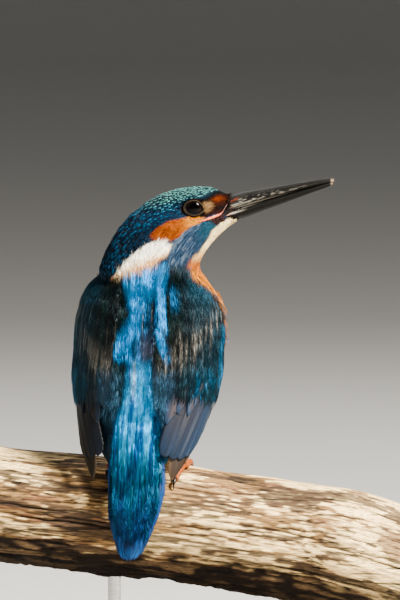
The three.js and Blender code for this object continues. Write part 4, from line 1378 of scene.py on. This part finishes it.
def branch(rng):
    """The weathered branch, with long cracks, worn fibres, a rough dark underside and sawn ends, with
    painted shade along its very bottom and in its cracks.
    """
    kept = {}

    def place(share, angle, out):
        x = PERCH["middle"] + (share - 0.5) * PERCH["length"]
        radius = branch_radius(x, angle)
        spot = np.stack([x, radius * np.sin(angle), radius * np.cos(angle)], axis=1)
        fibre = grain(spot, (16, 1.1, 1.1), 41)
        fibres = grain(spot, (8, 0.55, 0.55), 42)
        lumps = grain(spot, (9, 5, 5), 43)
        bark = step(-0.28, -0.55, np.cos(angle) + 0.16 * lumps + 0.1 * grain(spot, (4, 2, 2), 44))
        plates = np.abs(grain(spot, (11, 2.2, 2.2), 45))
        crack = cracks(x, angle, rng)
        under = step(0.35, -0.3, np.cos(angle))
        raised = (0.09 + 0.1 * under) * fibre + 0.06 * fibres - crack * (0.8 + 0.5 * under)
        flaking = 0.9 * plates - 0.75 + 0.35 * grain(spot, (1.6, 1.2, 1.2), 46)
        raised += bark * flaking + 0.1 * lumps * (1 - bark)
        feet = step(24, 18, np.abs(x)) * step(-0.1, 0.3, np.cos(angle))
        raised = raised * (1 - 0.5 * feet) - 0.1
        wall = out == 1
        radius = (radius + np.where(wall, raised, raised * out)) * out
        saw_marks = 0.12 * np.sin(out * 46 + 0.8 * lumps) * (out < 0.99)
        ends = np.sign(share - 0.5) * (np.where(wall, -0.35, 0) + saw_marks)
        ends = np.where((share < 1e-4) | (share > 1 - 1e-4), ends, 0)
        kept.update(spot=spot, fibre=fibre, fibres=fibres, bark=bark, plates=plates, crack=crack, lumps=lumps)
        height = branch_axis(x)
        return np.stack([x + ends, radius * np.sin(angle), height + radius * np.cos(angle)], axis=1)

    rings = (0.985, 0.95, 0.88, 0.8, 0.72, 0.64, 0.56, 0.48, 0.4, 0.32, 0.24, 0.16, 0.08, 0.02)
    mesh, _, angle, out = tube("branch", 272, 336, place, rings)
    point_out(mesh)
    spot = kept["spot"]
    fine = grain(spot, (4.5, 0.5, 0.5), 56)
    pale = step(-0.22, 0.0, grain(spot, (26, 6, 6), 51) + 0.4 * grain(spot, (9, 1.2, 1.2), 52) + 0.5 * fine)
    stain = step(0.3, 0.42, grain(spot, (16, 4, 4), 53) + 0.35 * grain(spot, (4, 1.2, 1.2), 57))
    grey = step(-0.2, -0.36, grain(spot, (24, 3.5, 3.5), 54) + 0.4 * kept["fibres"] + 0.4 * fine)
    tone = mix(INK["wood"], INK["wood_pale"], pale * 0.95)
    tone = mix(tone, INK["wood_stain"], stain * 0.75)
    tone = mix(tone, INK["wood_grey"], grey * 0.85)
    tone = tone * (1 + 0.3 * kept["fibres"] + 0.25 * kept["fibre"] + 0.35 * fine)[:, None]
    lichen = step(0.25, 0.6, kept["plates"] + 0.25 * grain(spot, (5, 3, 3), 55))
    bark = mix(INK["bark"], INK["lichen"], lichen)
    # Painted shade: darker still along the very bottom of the branch.
    bark = mix(bark, INK["bark_dark"], step(-0.55, -0.85, np.cos(angle)) * 0.8)
    tone = mix(tone, bark, kept["bark"])
    # Dark in the cracks, the deeper the darker: partly the wood's own dark inside and partly painted shade.
    tone = mix(tone, INK["crack"], np.clip(kept["crack"] * 2.2, 0, 0.9))
    ringed = mix(INK["wood"], INK["wood_grey"], 0.5 + 0.5 * np.sin(out * 92 + kept["lumps"]))
    ringed = mix(ringed, INK["bark"], step(0.9, 0.97, out))
    tone = mix(tone, ringed, (out < 0.99).astype(float))
    paint(mesh, tone)
    shown(mesh_object("branch", mesh, branch_finish()), "branch", "perch")


branch(np.random.default_rng(61))


# ---------------------------------------------------------------- bill, gape and eyes
# Sections of the mandibles: the places of their top and their underside, each along the head and
# up, and half their width.
UPPER_BILL = [
    (23, 92.4, 23.4, 87.4, 5.2), (28, 94.1, 28.4, 88.9, 4.9), (33, 95.4, 33.4, 90.4, 4.15),
    (39.8, 96.6, 39.8, 92.4, 3.3), (49.5, 98.3, 49.5, 95.1, 2.3), (58, 99.6, 58, 97.4, 1.4),
    (62.5, 100.1, 62.5, 98.5, 0.8), (64.4, 100, 64.4, 98.9, 0.45),
]
LOWER_BILL = [
    (23.4, 87.2, 25.4, 84.4, 5.0), (28.4, 88.9, 29.6, 85.3, 4.7), (33.4, 90.5, 34, 86.6, 3.95),
    (39.8, 92.5, 39.8, 88.8, 3.1), (49.5, 95.2, 49.5, 92.4, 2.15), (58, 97.5, 58, 95.6, 1.3),
    (62.2, 98.6, 62.2, 97.2, 0.7), (64, 98.9, 64, 98.1, 0.35),
]
BILL_ROWS = 220
BILL_AROUND = 72


def mandible(name, stations, pinch):
    """One mandible, grooved near its base, with pale lines along its edge that are partly wear and partly
    painted highlight. Pinch narrows its upper part, or its lower part where it is negative, as on the
    lower mandible."""
    kept = {}

    def place(share, angle, out):
        top_along, top_up, low_along, low_up, half = curve_through(stations, share).T
        height = (1 + np.cos(angle)) / 2
        keel = np.sin(angle) * (1 - pinch * np.cos(angle))
        left = half * np.sign(keel) * np.abs(keel) ** 1.12
        along = low_along + (top_along - low_along) * height
        up = low_up + (top_up - low_up) * height
        fibre = np.stack([along, height * (top_up - low_up), np.sign(left) * 9 + 0 * left], axis=1)
        # This grain gives the horn's wear, and also places the painted highlight lines below.
        worn = grain(fibre, (9, 0.32, 4), 71)
        flakes = grain(fibre, (4, 0.16, 4), 72)
        speckle = grain(fibre, (1.6, 0.13, 4), 73)
        if pinch > 0:
            groove = np.exp(-((up - (91.9 + 0.36 * (along - 28))) / 0.35) ** 2) * step(45, 34, along)
            from_slit = (up - (92.8 + 0.45 * (along - 29.8))) / 0.28
            nostril = np.exp(-from_slit ** 2 - ((along - 29.8) / 1.4) ** 4)
        else:
            groove = np.exp(-((up - (87.4 + 0.33 * (along - 30))) / 0.3) ** 2) * step(44, 32, along)
            nostril = np.zeros_like(along)
        left = left - np.sign(left) * (0.22 * groove + 0.55 * nostril + 0.03 * worn)
        kept.update(along=along, worn=worn, flakes=flakes, nostril=nostril, height=height, speckle=speckle)
        return from_head(along, up, left)

    mesh = tube(name, BILL_AROUND, BILL_ROWS, place)[0]
    point_out(mesh)
    along, worn, flakes, height = (kept[key] for key in ("along", "worn", "flakes", "height"))
    # The upper mandible is greyer along its top: painted sheen on the culmen.
    tone = mix(INK["bill"], INK["bill_grey"], step(0.5, 0.9, height) * 0.8 if pinch > 0 else 0.2 * height)
    # The pale band, streaks and rim lines are partly speckle and wear in the horn and partly painted
    # highlights; the lower mandible's band near its underside is a painted highlight line.
    scuffs_and_glints = step(0.0, 0.4, worn + 0.3 * flakes)
    if pinch > 0:
        band = np.exp(-((height - 0.42) / 0.2) ** 2) * step(60, 36, along)
        streaks = np.exp(-((height - 0.22) / 0.16) ** 2) * step(41, 29, along) * scuffs_and_glints
        rim = np.exp(-((height - 0.08) / 0.05) ** 2) * step(54, 32, along) * step(-0.6, 0.2, worn)
    else:
        band = np.exp(-((height - 0.2) / 0.1) ** 2) * step(34, 26, along)
        streaks = np.exp(-((height - 0.75) / 0.14) ** 2) * step(35, 27, along) * scuffs_and_glints
        rim = np.exp(-((height - 0.94) / 0.04) ** 2) * step(42, 28, along) * step(-0.6, 0.2, worn)
    speckle = band * step(0.1, 0.6, kept["speckle"] + 0.3 * flakes)
    tone = mix(tone, INK["bill_pale"], np.clip(0.34 * speckle + 0.6 * streaks + 0.75 * rim, 0, 0.85))
    tone = mix(tone, INK["bill_tip"], step(63.0, 63.8, along) * 0.8)
    red = mix(INK["gape"], INK["lore_brown"], 0.7 + 0 * along)
    tone = mix(tone, red, np.clip(kept["nostril"], 0, 0.7) if pinch > 0 else step(27, 24, along) * 0.5)
    tone = mix(tone, INK["gape_pale"], step(30, 27, along) * 0.4 * np.clip(streaks + rim, 0, 1))
    paint(mesh, tone * (1 + 0.15 * flakes)[:, None])
    shown(mesh_object(name + "_mandible", mesh, BILL_FINISH), "bill", name)


# The gape's rim, from behind the mouth to the top of the bill's base: along, up and thickness.
GAPE = [(17.6, 85.4, 0.12), (19.2, 86.0, 0.32), (21.2, 86.7, 0.48), (23.2, 87.4, 0.5), (24.6, 87.9, 0.38),
        (25.5, 88.6, 0.2), (26.2, 89.6, 0.13), (26.9, 90.8, 0.12), (27.6, 91.8, 0.1)]


ASIDE = 60.0  # well clear of the head's side


def side_of_head(surface, along, up, hand):
    """The places on one side of the head, seen from that side. Hand is 1 on its left."""
    starts = from_head(along, up, ASIDE * hand)
    way = -hand * np.array(HEAD_LEFT)
    hits = [surface.tree.ray_cast(Vector(s), Vector(way)) for s in starts]
    spots = np.array([h[0] if h[0] else surface.tree.find_nearest(s + way * (ASIDE - 6))[0]
                      for h, s in zip(hits, starts)])
    return spots, surface.nearest(spots)[1]


def gape_rim(surface, hand):
    """The soft orange rim of the gape, from behind the mouth up along the bill's base."""
    def place(share, angle, out):
        along, up, size = curve_through(GAPE, share).T
        spots, normals = side_of_head(surface, along, up, hand)
        ahead = curve_through(GAPE, share + 0.02) - curve_through(GAPE, share - 0.02)
        way = unit(from_head(ahead[:, 0], ahead[:, 1]) - from_head(0, 0))
        side = np.cross(normals, way)
        wrinkle = 1 + 0.1 * np.sin(share * 60)
        return (spots + normals * (0.3 + size * 0.75 * np.cos(angle) * wrinkle)[:, None]
                + side * (size * np.sin(angle) * wrinkle)[:, None])

    mesh, share, angle, _ = tube("gape", 14, 60, place)
    point_out(mesh)
    tone = mix(INK["gape"], INK["gape_pale"], (0.5 + 0.5 * np.cos(angle)) * step(0.6, 0.3, share))
    tone = mix(tone, INK["lore_brown"], 0.85 * step(0.55, 0.75, share))
    paint(mesh, tone * (0.9 + 0.1 * np.sin(share * 60))[:, None])
    side = "left" if hand > 0 else "right"
    shown(mesh_object(f"gape_rim_{side}", mesh, GAPE_FINISH), "bill")


def eye_outline(turn, grown=1.0):
    """The eye's opening: offsets along and up from its middle, with a drawn-out front corner."""
    front = np.maximum(np.cos(turn), 0)
    return (EYE_HALF[0] * np.cos(turn) * grown,
            EYE_HALF[1] * np.sin(turn) * (1 - 0.35 * front ** 4) * grown - 0.45 * front ** 3)


def ball_depth(x, y):
    """How far out the eyeball's surface lies, at offsets from its middle."""
    return EYE_SET_IN + np.sqrt(np.maximum(EYE_BALL ** 2 - x ** 2 - y ** 2, 0.1))


def eyeball(hand):
    side = "left" if hand > 0 else "right"
    bm = bmesh.new()
    bmesh.ops.create_uvsphere(bm, u_segments=64, v_segments=48, radius=1)
    mesh = made_mesh("eyeball", bm)
    x, y, z = raw_places(mesh).T
    reach = EYE_BALL * (1 + 0.02 * step(0.75, 0.95, z))
    set_places(mesh, from_head(EYE_MIDDLE[0] + reach * x, EYE_MIDDLE[1] + reach * y,
                               hand * (EYE_SET_IN + reach * z)))
    point_out(mesh)
    out = np.hypot(x, y) * EYE_BALL
    turn = np.arctan2(y, x)
    fibres = 0.5 + 0.5 * np.sin(turn * 34 + 2 * np.sin(turn * 7))
    iris = mix(INK["iris"], INK["iris_dark"], 0.35 + 0.3 * fibres)
    tone = mix(iris, INK["pupil"], step(2.1, 1.9, out))
    tone = mix(tone, INK["pupil"], step(2.9, 3.3, out) * 0.7)
    paint(mesh, tone)
    shown(mesh_object(f"eyeball_{side}", mesh, EYE_FINISH), "eye", f"eye_{side}")


def ring(name, around, section, place):
    """A closed ring: place(turn, angle) gives the bird places of its wall."""
    bm = bmesh.new()
    bmesh.ops.create_circle(bm, segments=section, radius=0.3, matrix=Matrix.Rotation(math.pi / 2, 4, "X"))
    bmesh.ops.translate(bm, verts=bm.verts, vec=(1, 0, 0))
    bmesh.ops.spin(bm, geom=bm.verts[:] + bm.edges[:], cent=(0, 0, 0), axis=(0, 0, 1), angle=math.tau,
                   steps=around, use_merge=True)
    bmesh.ops.remove_doubles(bm, verts=bm.verts, dist=1e-5)
    mesh = made_mesh(name, bm)
    x, y, z = raw_places(mesh).T
    turn, angle = np.arctan2(y, x), np.arctan2(z, np.hypot(x, y) - 1)
    set_places(mesh, place(turn, angle))
    point_out(mesh)
    return mesh, turn


def eyelids(hand):
    """The dark lids and the thin pale rim round the eye's opening."""
    side = "left" if hand > 0 else "right"
    for name, grown, wide, high, tone, wobble in (
            ("eyelid", 1.12, 0.36, 0.3, "lid", 0.02), ("eye_rim", 1.235, 0.055, 0.25, "rim_pale", 0.03)):
        def place(turn, angle):
            x, y = eye_outline(turn, grown)
            beads = wobble * np.sin(turn * 40)
            outward = unit(np.stack([np.cos(turn) / EYE_HALF[0], np.sin(turn) / EYE_HALF[1]], axis=1))
            reach = (wide + beads) * np.cos(angle)
            x, y = x + outward[:, 0] * reach, y + outward[:, 1] * reach
            inner_x, inner_y = eye_outline(turn, 1.0)
            apart = np.hypot(x, y) - np.hypot(inner_x, inner_y)
            deep = ball_depth(inner_x, inner_y) + 0.05 + (high + beads) * np.sin(angle) + 0.28 * apart
            return from_head(EYE_MIDDLE[0] + x, EYE_MIDDLE[1] + y, hand * deep)

        mesh, turn = ring(name, 120, 12, place)
        beaded = 0.5 + 0.5 * np.sin(turn * 40)
        paint(mesh, INK[tone] * (beaded if tone == "rim_pale" else 0.8 + 0.2 * beaded)[:, None])
        shown(mesh_object(f"{name}_{side}", mesh, LID_FINISH), "eye")


BILL_FINISH = tinted_material("horny bill", 0.5, 0.3, 0.35, bump=0.05, stretch=(0.3, 1, 1),
                              Specular_IOR_Level=0.06)
GAPE_FINISH = tinted_material("gape skin", 0.5, 0.15, 0.3, bump=0.03, Subsurface_Weight=0.15,
                              Subsurface_Scale=0.0006)
EYE_FINISH = tinted_material("eye", 0.09, 0.08, 0.2, Specular_IOR_Level=0.04, Coat_Weight=0.05,
                             Coat_Roughness=0.02)
LID_FINISH = tinted_material("eyelid skin", 0.75, 0.2, 0.25, bump=0.03, Specular_IOR_Level=0.1)
mandible("bill_upper", UPPER_BILL, 0.3)
mandible("bill_lower", LOWER_BILL, -0.25)
for hand in (-1, 1):
    gape_rim(bed, hand)
    eyeball(hand)
    eyelids(hand)


# ---------------------------------------------------------------- feet and claws
FEET = {"right": {"x": 13.6, "side": 1}, "left": {"x": -12.2, "side": -1}}
FOOT_BACK = 5.0  # how far the feet's middles lie behind the branch's crest, round it
TOE_SIZE = 1.15
# Each toe: its places to the side at its root and its end, its arc over the branch in degrees, and
# its thickness.
TOES = {"outer": (1, -0.6, 33, 0.95), "middle": (-0.4, -2.8, 38, 1), "inner": (-1.6, -5.2, 24, 0.9),
        "hind": (0, -0.6, -24, 1)}
CLAW_ARC = 11


def on_branch(x, angle, lift):
    radius = branch_radius(x, angle) + lift
    return np.stack([x, np.sin(angle) * radius, branch_axis(x) + np.cos(angle) * radius], axis=1)


def along_branch(foot, toe, turn, lift):
    """A place over the branch along a toe's path, at a turn in degrees from the foot's middle."""
    start, end, arc, _ = toe
    x = foot["x"] + foot["side"] * (start + (end - start) * turn / arc)
    return on_branch(x, -FOOT_BACK / PERCH["radius"] + np.radians(turn), lift)


def round_path(path, size, share, angle):
    """The wall of a round shape about path(share), with size(share) as its radius."""
    here = path(share)
    way = unit(path(share + 0.01) - path(share - 0.01))
    side = unit(np.cross(way, np.array([0.0, 0, 1]) + way * 0.01 + np.array([0.02, 0, 0])))
    up = np.cross(side, way)
    radius = size(share)[:, None]
    return here + (up * np.cos(angle)[:, None] + side * np.sin(angle)[:, None]) * radius


def toe_tube(foot, toe):
    arc, thick = toe[2], toe[3]
    size = lambda share: TOE_SIZE * thick * (1 + 0.1 * np.cos(share * math.pi * 6) - 0.2 * share) * np.sqrt(
        np.clip(1 - (2 * np.clip(share, 0, 1) - 1) ** 14, 0.1, 1))
    path = lambda share: along_branch(foot, toe, np.clip(share, -0.1, 1.1) * arc, size(share) + 0.3)
    return tube("toe", 20, 60, lambda share, angle, out: round_path(path, size, share, angle))[0]


def claw_tube(foot, toe):
    arc, thick = toe[2], toe[3]
    size = lambda share: TOE_SIZE * 0.62 * thick * (1 - 0.86 * np.clip(share, 0, 1) ** 1.2)
    way = np.sign(arc)
    path = lambda share: along_branch(foot, toe, arc + way * CLAW_ARC * (share - 0.08),
                                      0.25 + size(share) + 1.25 * np.sin(math.pi * (0.2 + 0.8 * share)))
    return tube("claw", 20, 40, lambda share, angle, out: round_path(path, size, share, angle))


def shank_tube(foot):
    ankle = on_branch(np.array([foot["x"]]), np.array([-FOOT_BACK / PERCH["radius"]]), TOE_SIZE + 0.3)[0]
    knee = np.array([foot["x"] - foot["side"] * 1.5, ankle[1] - 4, 13])
    size = lambda share: np.interp(share, [0, 0.1, 0.5, 0.85, 1], [1.2, 1.5, 1.25, 1.5, 1.8])
    path = lambda share: ankle + (knee - ankle) * share[:, None]
    return tube("shank", 24, 40, lambda share, angle, out: round_path(path, size, share, angle))[0]


def joined(name, meshes):
    """One mesh of several."""
    bm = bmesh.new()
    for mesh in meshes:
        bm.from_mesh(mesh)
    bmesh.ops.recalc_face_normals(bm, faces=bm.faces)
    return made_mesh(name, bm)


def foot_mesh(foot):
    """A foot and its bare leg in one surface, with scutes across the toes."""
    parts = [toe_tube(foot, toe) for toe in TOES.values()] + [shank_tube(foot)]
    piece = mesh_object("foot", joined("foot", parts))
    remesh = piece.modifiers.new("one surface", "REMESH")
    remesh.mode = "VOXEL"
    remesh.voxel_size = 0.2 * MM
    soften = piece.modifiers.new("soften", "SMOOTH")
    soften.iterations = 4
    mesh = finished(piece).data
    bpy.data.objects.remove(piece)
    spots = places(mesh)
    round_branch = np.arctan2(spots[:, 1], spots[:, 2] - branch_axis(spots[:, 0])) * PERCH["radius"]
    on_shank = step(3.2, 4.5, spots[:, 2])
    scutes = np.abs(np.sin(np.pi * (round_branch * (1 - on_shank) / 0.8 + spots[:, 2] * on_shank / 0.9)))
    set_places(mesh, spots + corner_normals(mesh) * (0.1 * (scutes ** 0.5 - 0.7))[:, None])
    tone = mix(INK["foot"], INK["foot_dark"], step(0.35, 0.05, scutes) * 0.8)
    paint(mesh, tone * (1 + 0.12 * grain(spots, 0.8, 81))[:, None])
    return mesh


def feet():
    """The feet join the skin, and each claw is a piece of its own."""
    skin_parts = [foot_mesh(foot) for foot in FEET.values()]
    claw_finish = tinted_material("claw horn", 0.35, 0.2, 0.4, bump=0.03, Specular_IOR_Level=0.25)
    for side, foot in FEET.items():
        for name, toe in TOES.items():
            mesh, share, _, _ = claw_tube(foot, toe)
            point_out(mesh)
            paint(mesh, mix(INK["claw"], INK["claw_base"], step(0.35, 0.0, share)))
            shown(mesh_object(f"claw_{side}_{name}_horn", mesh, claw_finish), "claw", f"claw_{side}_{name}")
    foot_finish = tinted_material("foot skin", 0.5, 0.12, 0.3, bump=0.03, Specular_IOR_Level=0.2,
                                  Subsurface_Weight=0.1, Subsurface_Scale=0.0006)
    return skin_parts, foot_finish


# ---------------------------------------------------------------- stand
def wood_finish():
    """Dark oiled wood: long rings across the base, fine pores and a satin gloss."""
    material, shader = new_material("oiled walnut", 0.38, Specular_IOR_Level=0.45, Coat_Weight=0.15,
                                    Coat_Roughness=0.3)
    swirl = noise_at(material, (160, 20, 20), 3.0, 0.6)
    fine = noise_at(material, (20, 0.6, 0.6), 2.0)
    ramp = node(material, "ShaderNodeValToRGB", Fac=swirl)
    ramp.color_ramp.elements[0].position, ramp.color_ramp.elements[1].position = 0.35, 0.65
    ramp.color_ramp.elements[0].color = (0.032, 0.014, 0.007, 1)
    ramp.color_ramp.elements[1].color = (0.12, 0.055, 0.026, 1)
    pores = ranged(material, fine, (0.35, 0.6), (0.65, 1.1))
    link(material, scaled_colour(material, ramp.outputs[0], pores), shader.inputs["Base Color"])
    relief(material, shader, fine, 0.4, 0.08)
    return material


def steel_finish():
    """Steel rods, finely brushed round."""
    material, shader = new_material("brushed steel", 0.3, Metallic=1.0)
    brushed = noise_at(material, (4, 4, 0.3), 2.0)
    tone = ranged(material, brushed, (0.3, 0.7), (0.45, 0.62))
    grey = node(material, "ShaderNodeCombineColor", Red=tone, Green=tone, Blue=tone)
    link(material, grey.outputs[0], shader.inputs["Base Color"])
    relief(material, shader, brushed, 0.3, 0.03)
    return material


def dress(nodes, material):
    for name in nodes:
        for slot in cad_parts[name].material_slots:
            slot.material = material


dress(["stand_base"], wood_finish())
dress(["stand_rod_left", "stand_rod_right"], steel_finish())


# ---------------------------------------------------------------- the skin's piece
def socket(spots):
    """Draws the skin in round the eyes, so that the balls and lids sit in it."""
    along, up, left = in_head(spots)
    x, y = along - EYE_MIDDLE[0], up - EYE_MIDDLE[1]
    far = np.hypot(x / EYE_HALF[0], y / EYE_HALF[1])
    reach = 3.9  # a little less than the ball's radius
    room = ball_depth(np.clip(x, -reach, reach), np.clip(y, -reach, reach)) - 0.3
    pull = np.minimum(room - np.abs(left), 0) * step(1.5, 1.2, far) * (np.abs(left) > EYE_SET_IN - 1)
    base = step(-0.8, 0.6, along - along_line(BILL_BASE, up)) * step(81.5, 83.5, up)
    base = base * step(3.5, 5, np.abs(left))
    pull = np.minimum(pull, -1.1 * base)
    return spots + (np.sign(left) * pull)[:, None] * np.array(HEAD_LEFT)


def dressed_skin():
    """The skin with its markings and the feet, standing for the nodes of flesh."""
    piece = sunk_copy("skin", FLESH, SKIN_VOXEL)
    spots = socket(places(piece.data))
    set_places(piece.data, spots)
    colours, _, _ = plumage(spots)
    # The skin takes the coat's colours painted darker, as shade under the coat: at half strength, and at nine
    # tenths on the head's silky parts.
    silky = silky_part(spots) * step(64, 67, spots[:, 2])
    paint(piece.data, colours * (0.5 + 0.4 * silky)[:, None])
    parts, foot_finish = feet()
    for part in parts:
        part.materials.append(foot_finish)
    body = piece.data
    body.materials.append(tinted_material("skin", 0.8, 0.1, 0.6, bump=0.1, Specular_IOR_Level=0.1))
    bm = bmesh.new()
    bm.from_mesh(body)
    for part in parts:
        count = len(bm.faces)
        bm.from_mesh(part)
        bm.faces.ensure_lookup_table()
        for face in bm.faces[count:]:
            face.material_index = 1
    bm.to_mesh(body)
    bm.free()
    body.materials.append(foot_finish)
    body.shade_smooth()
    shown(piece, "body_plumage", *FLESH, *LEGS)


dressed_skin()
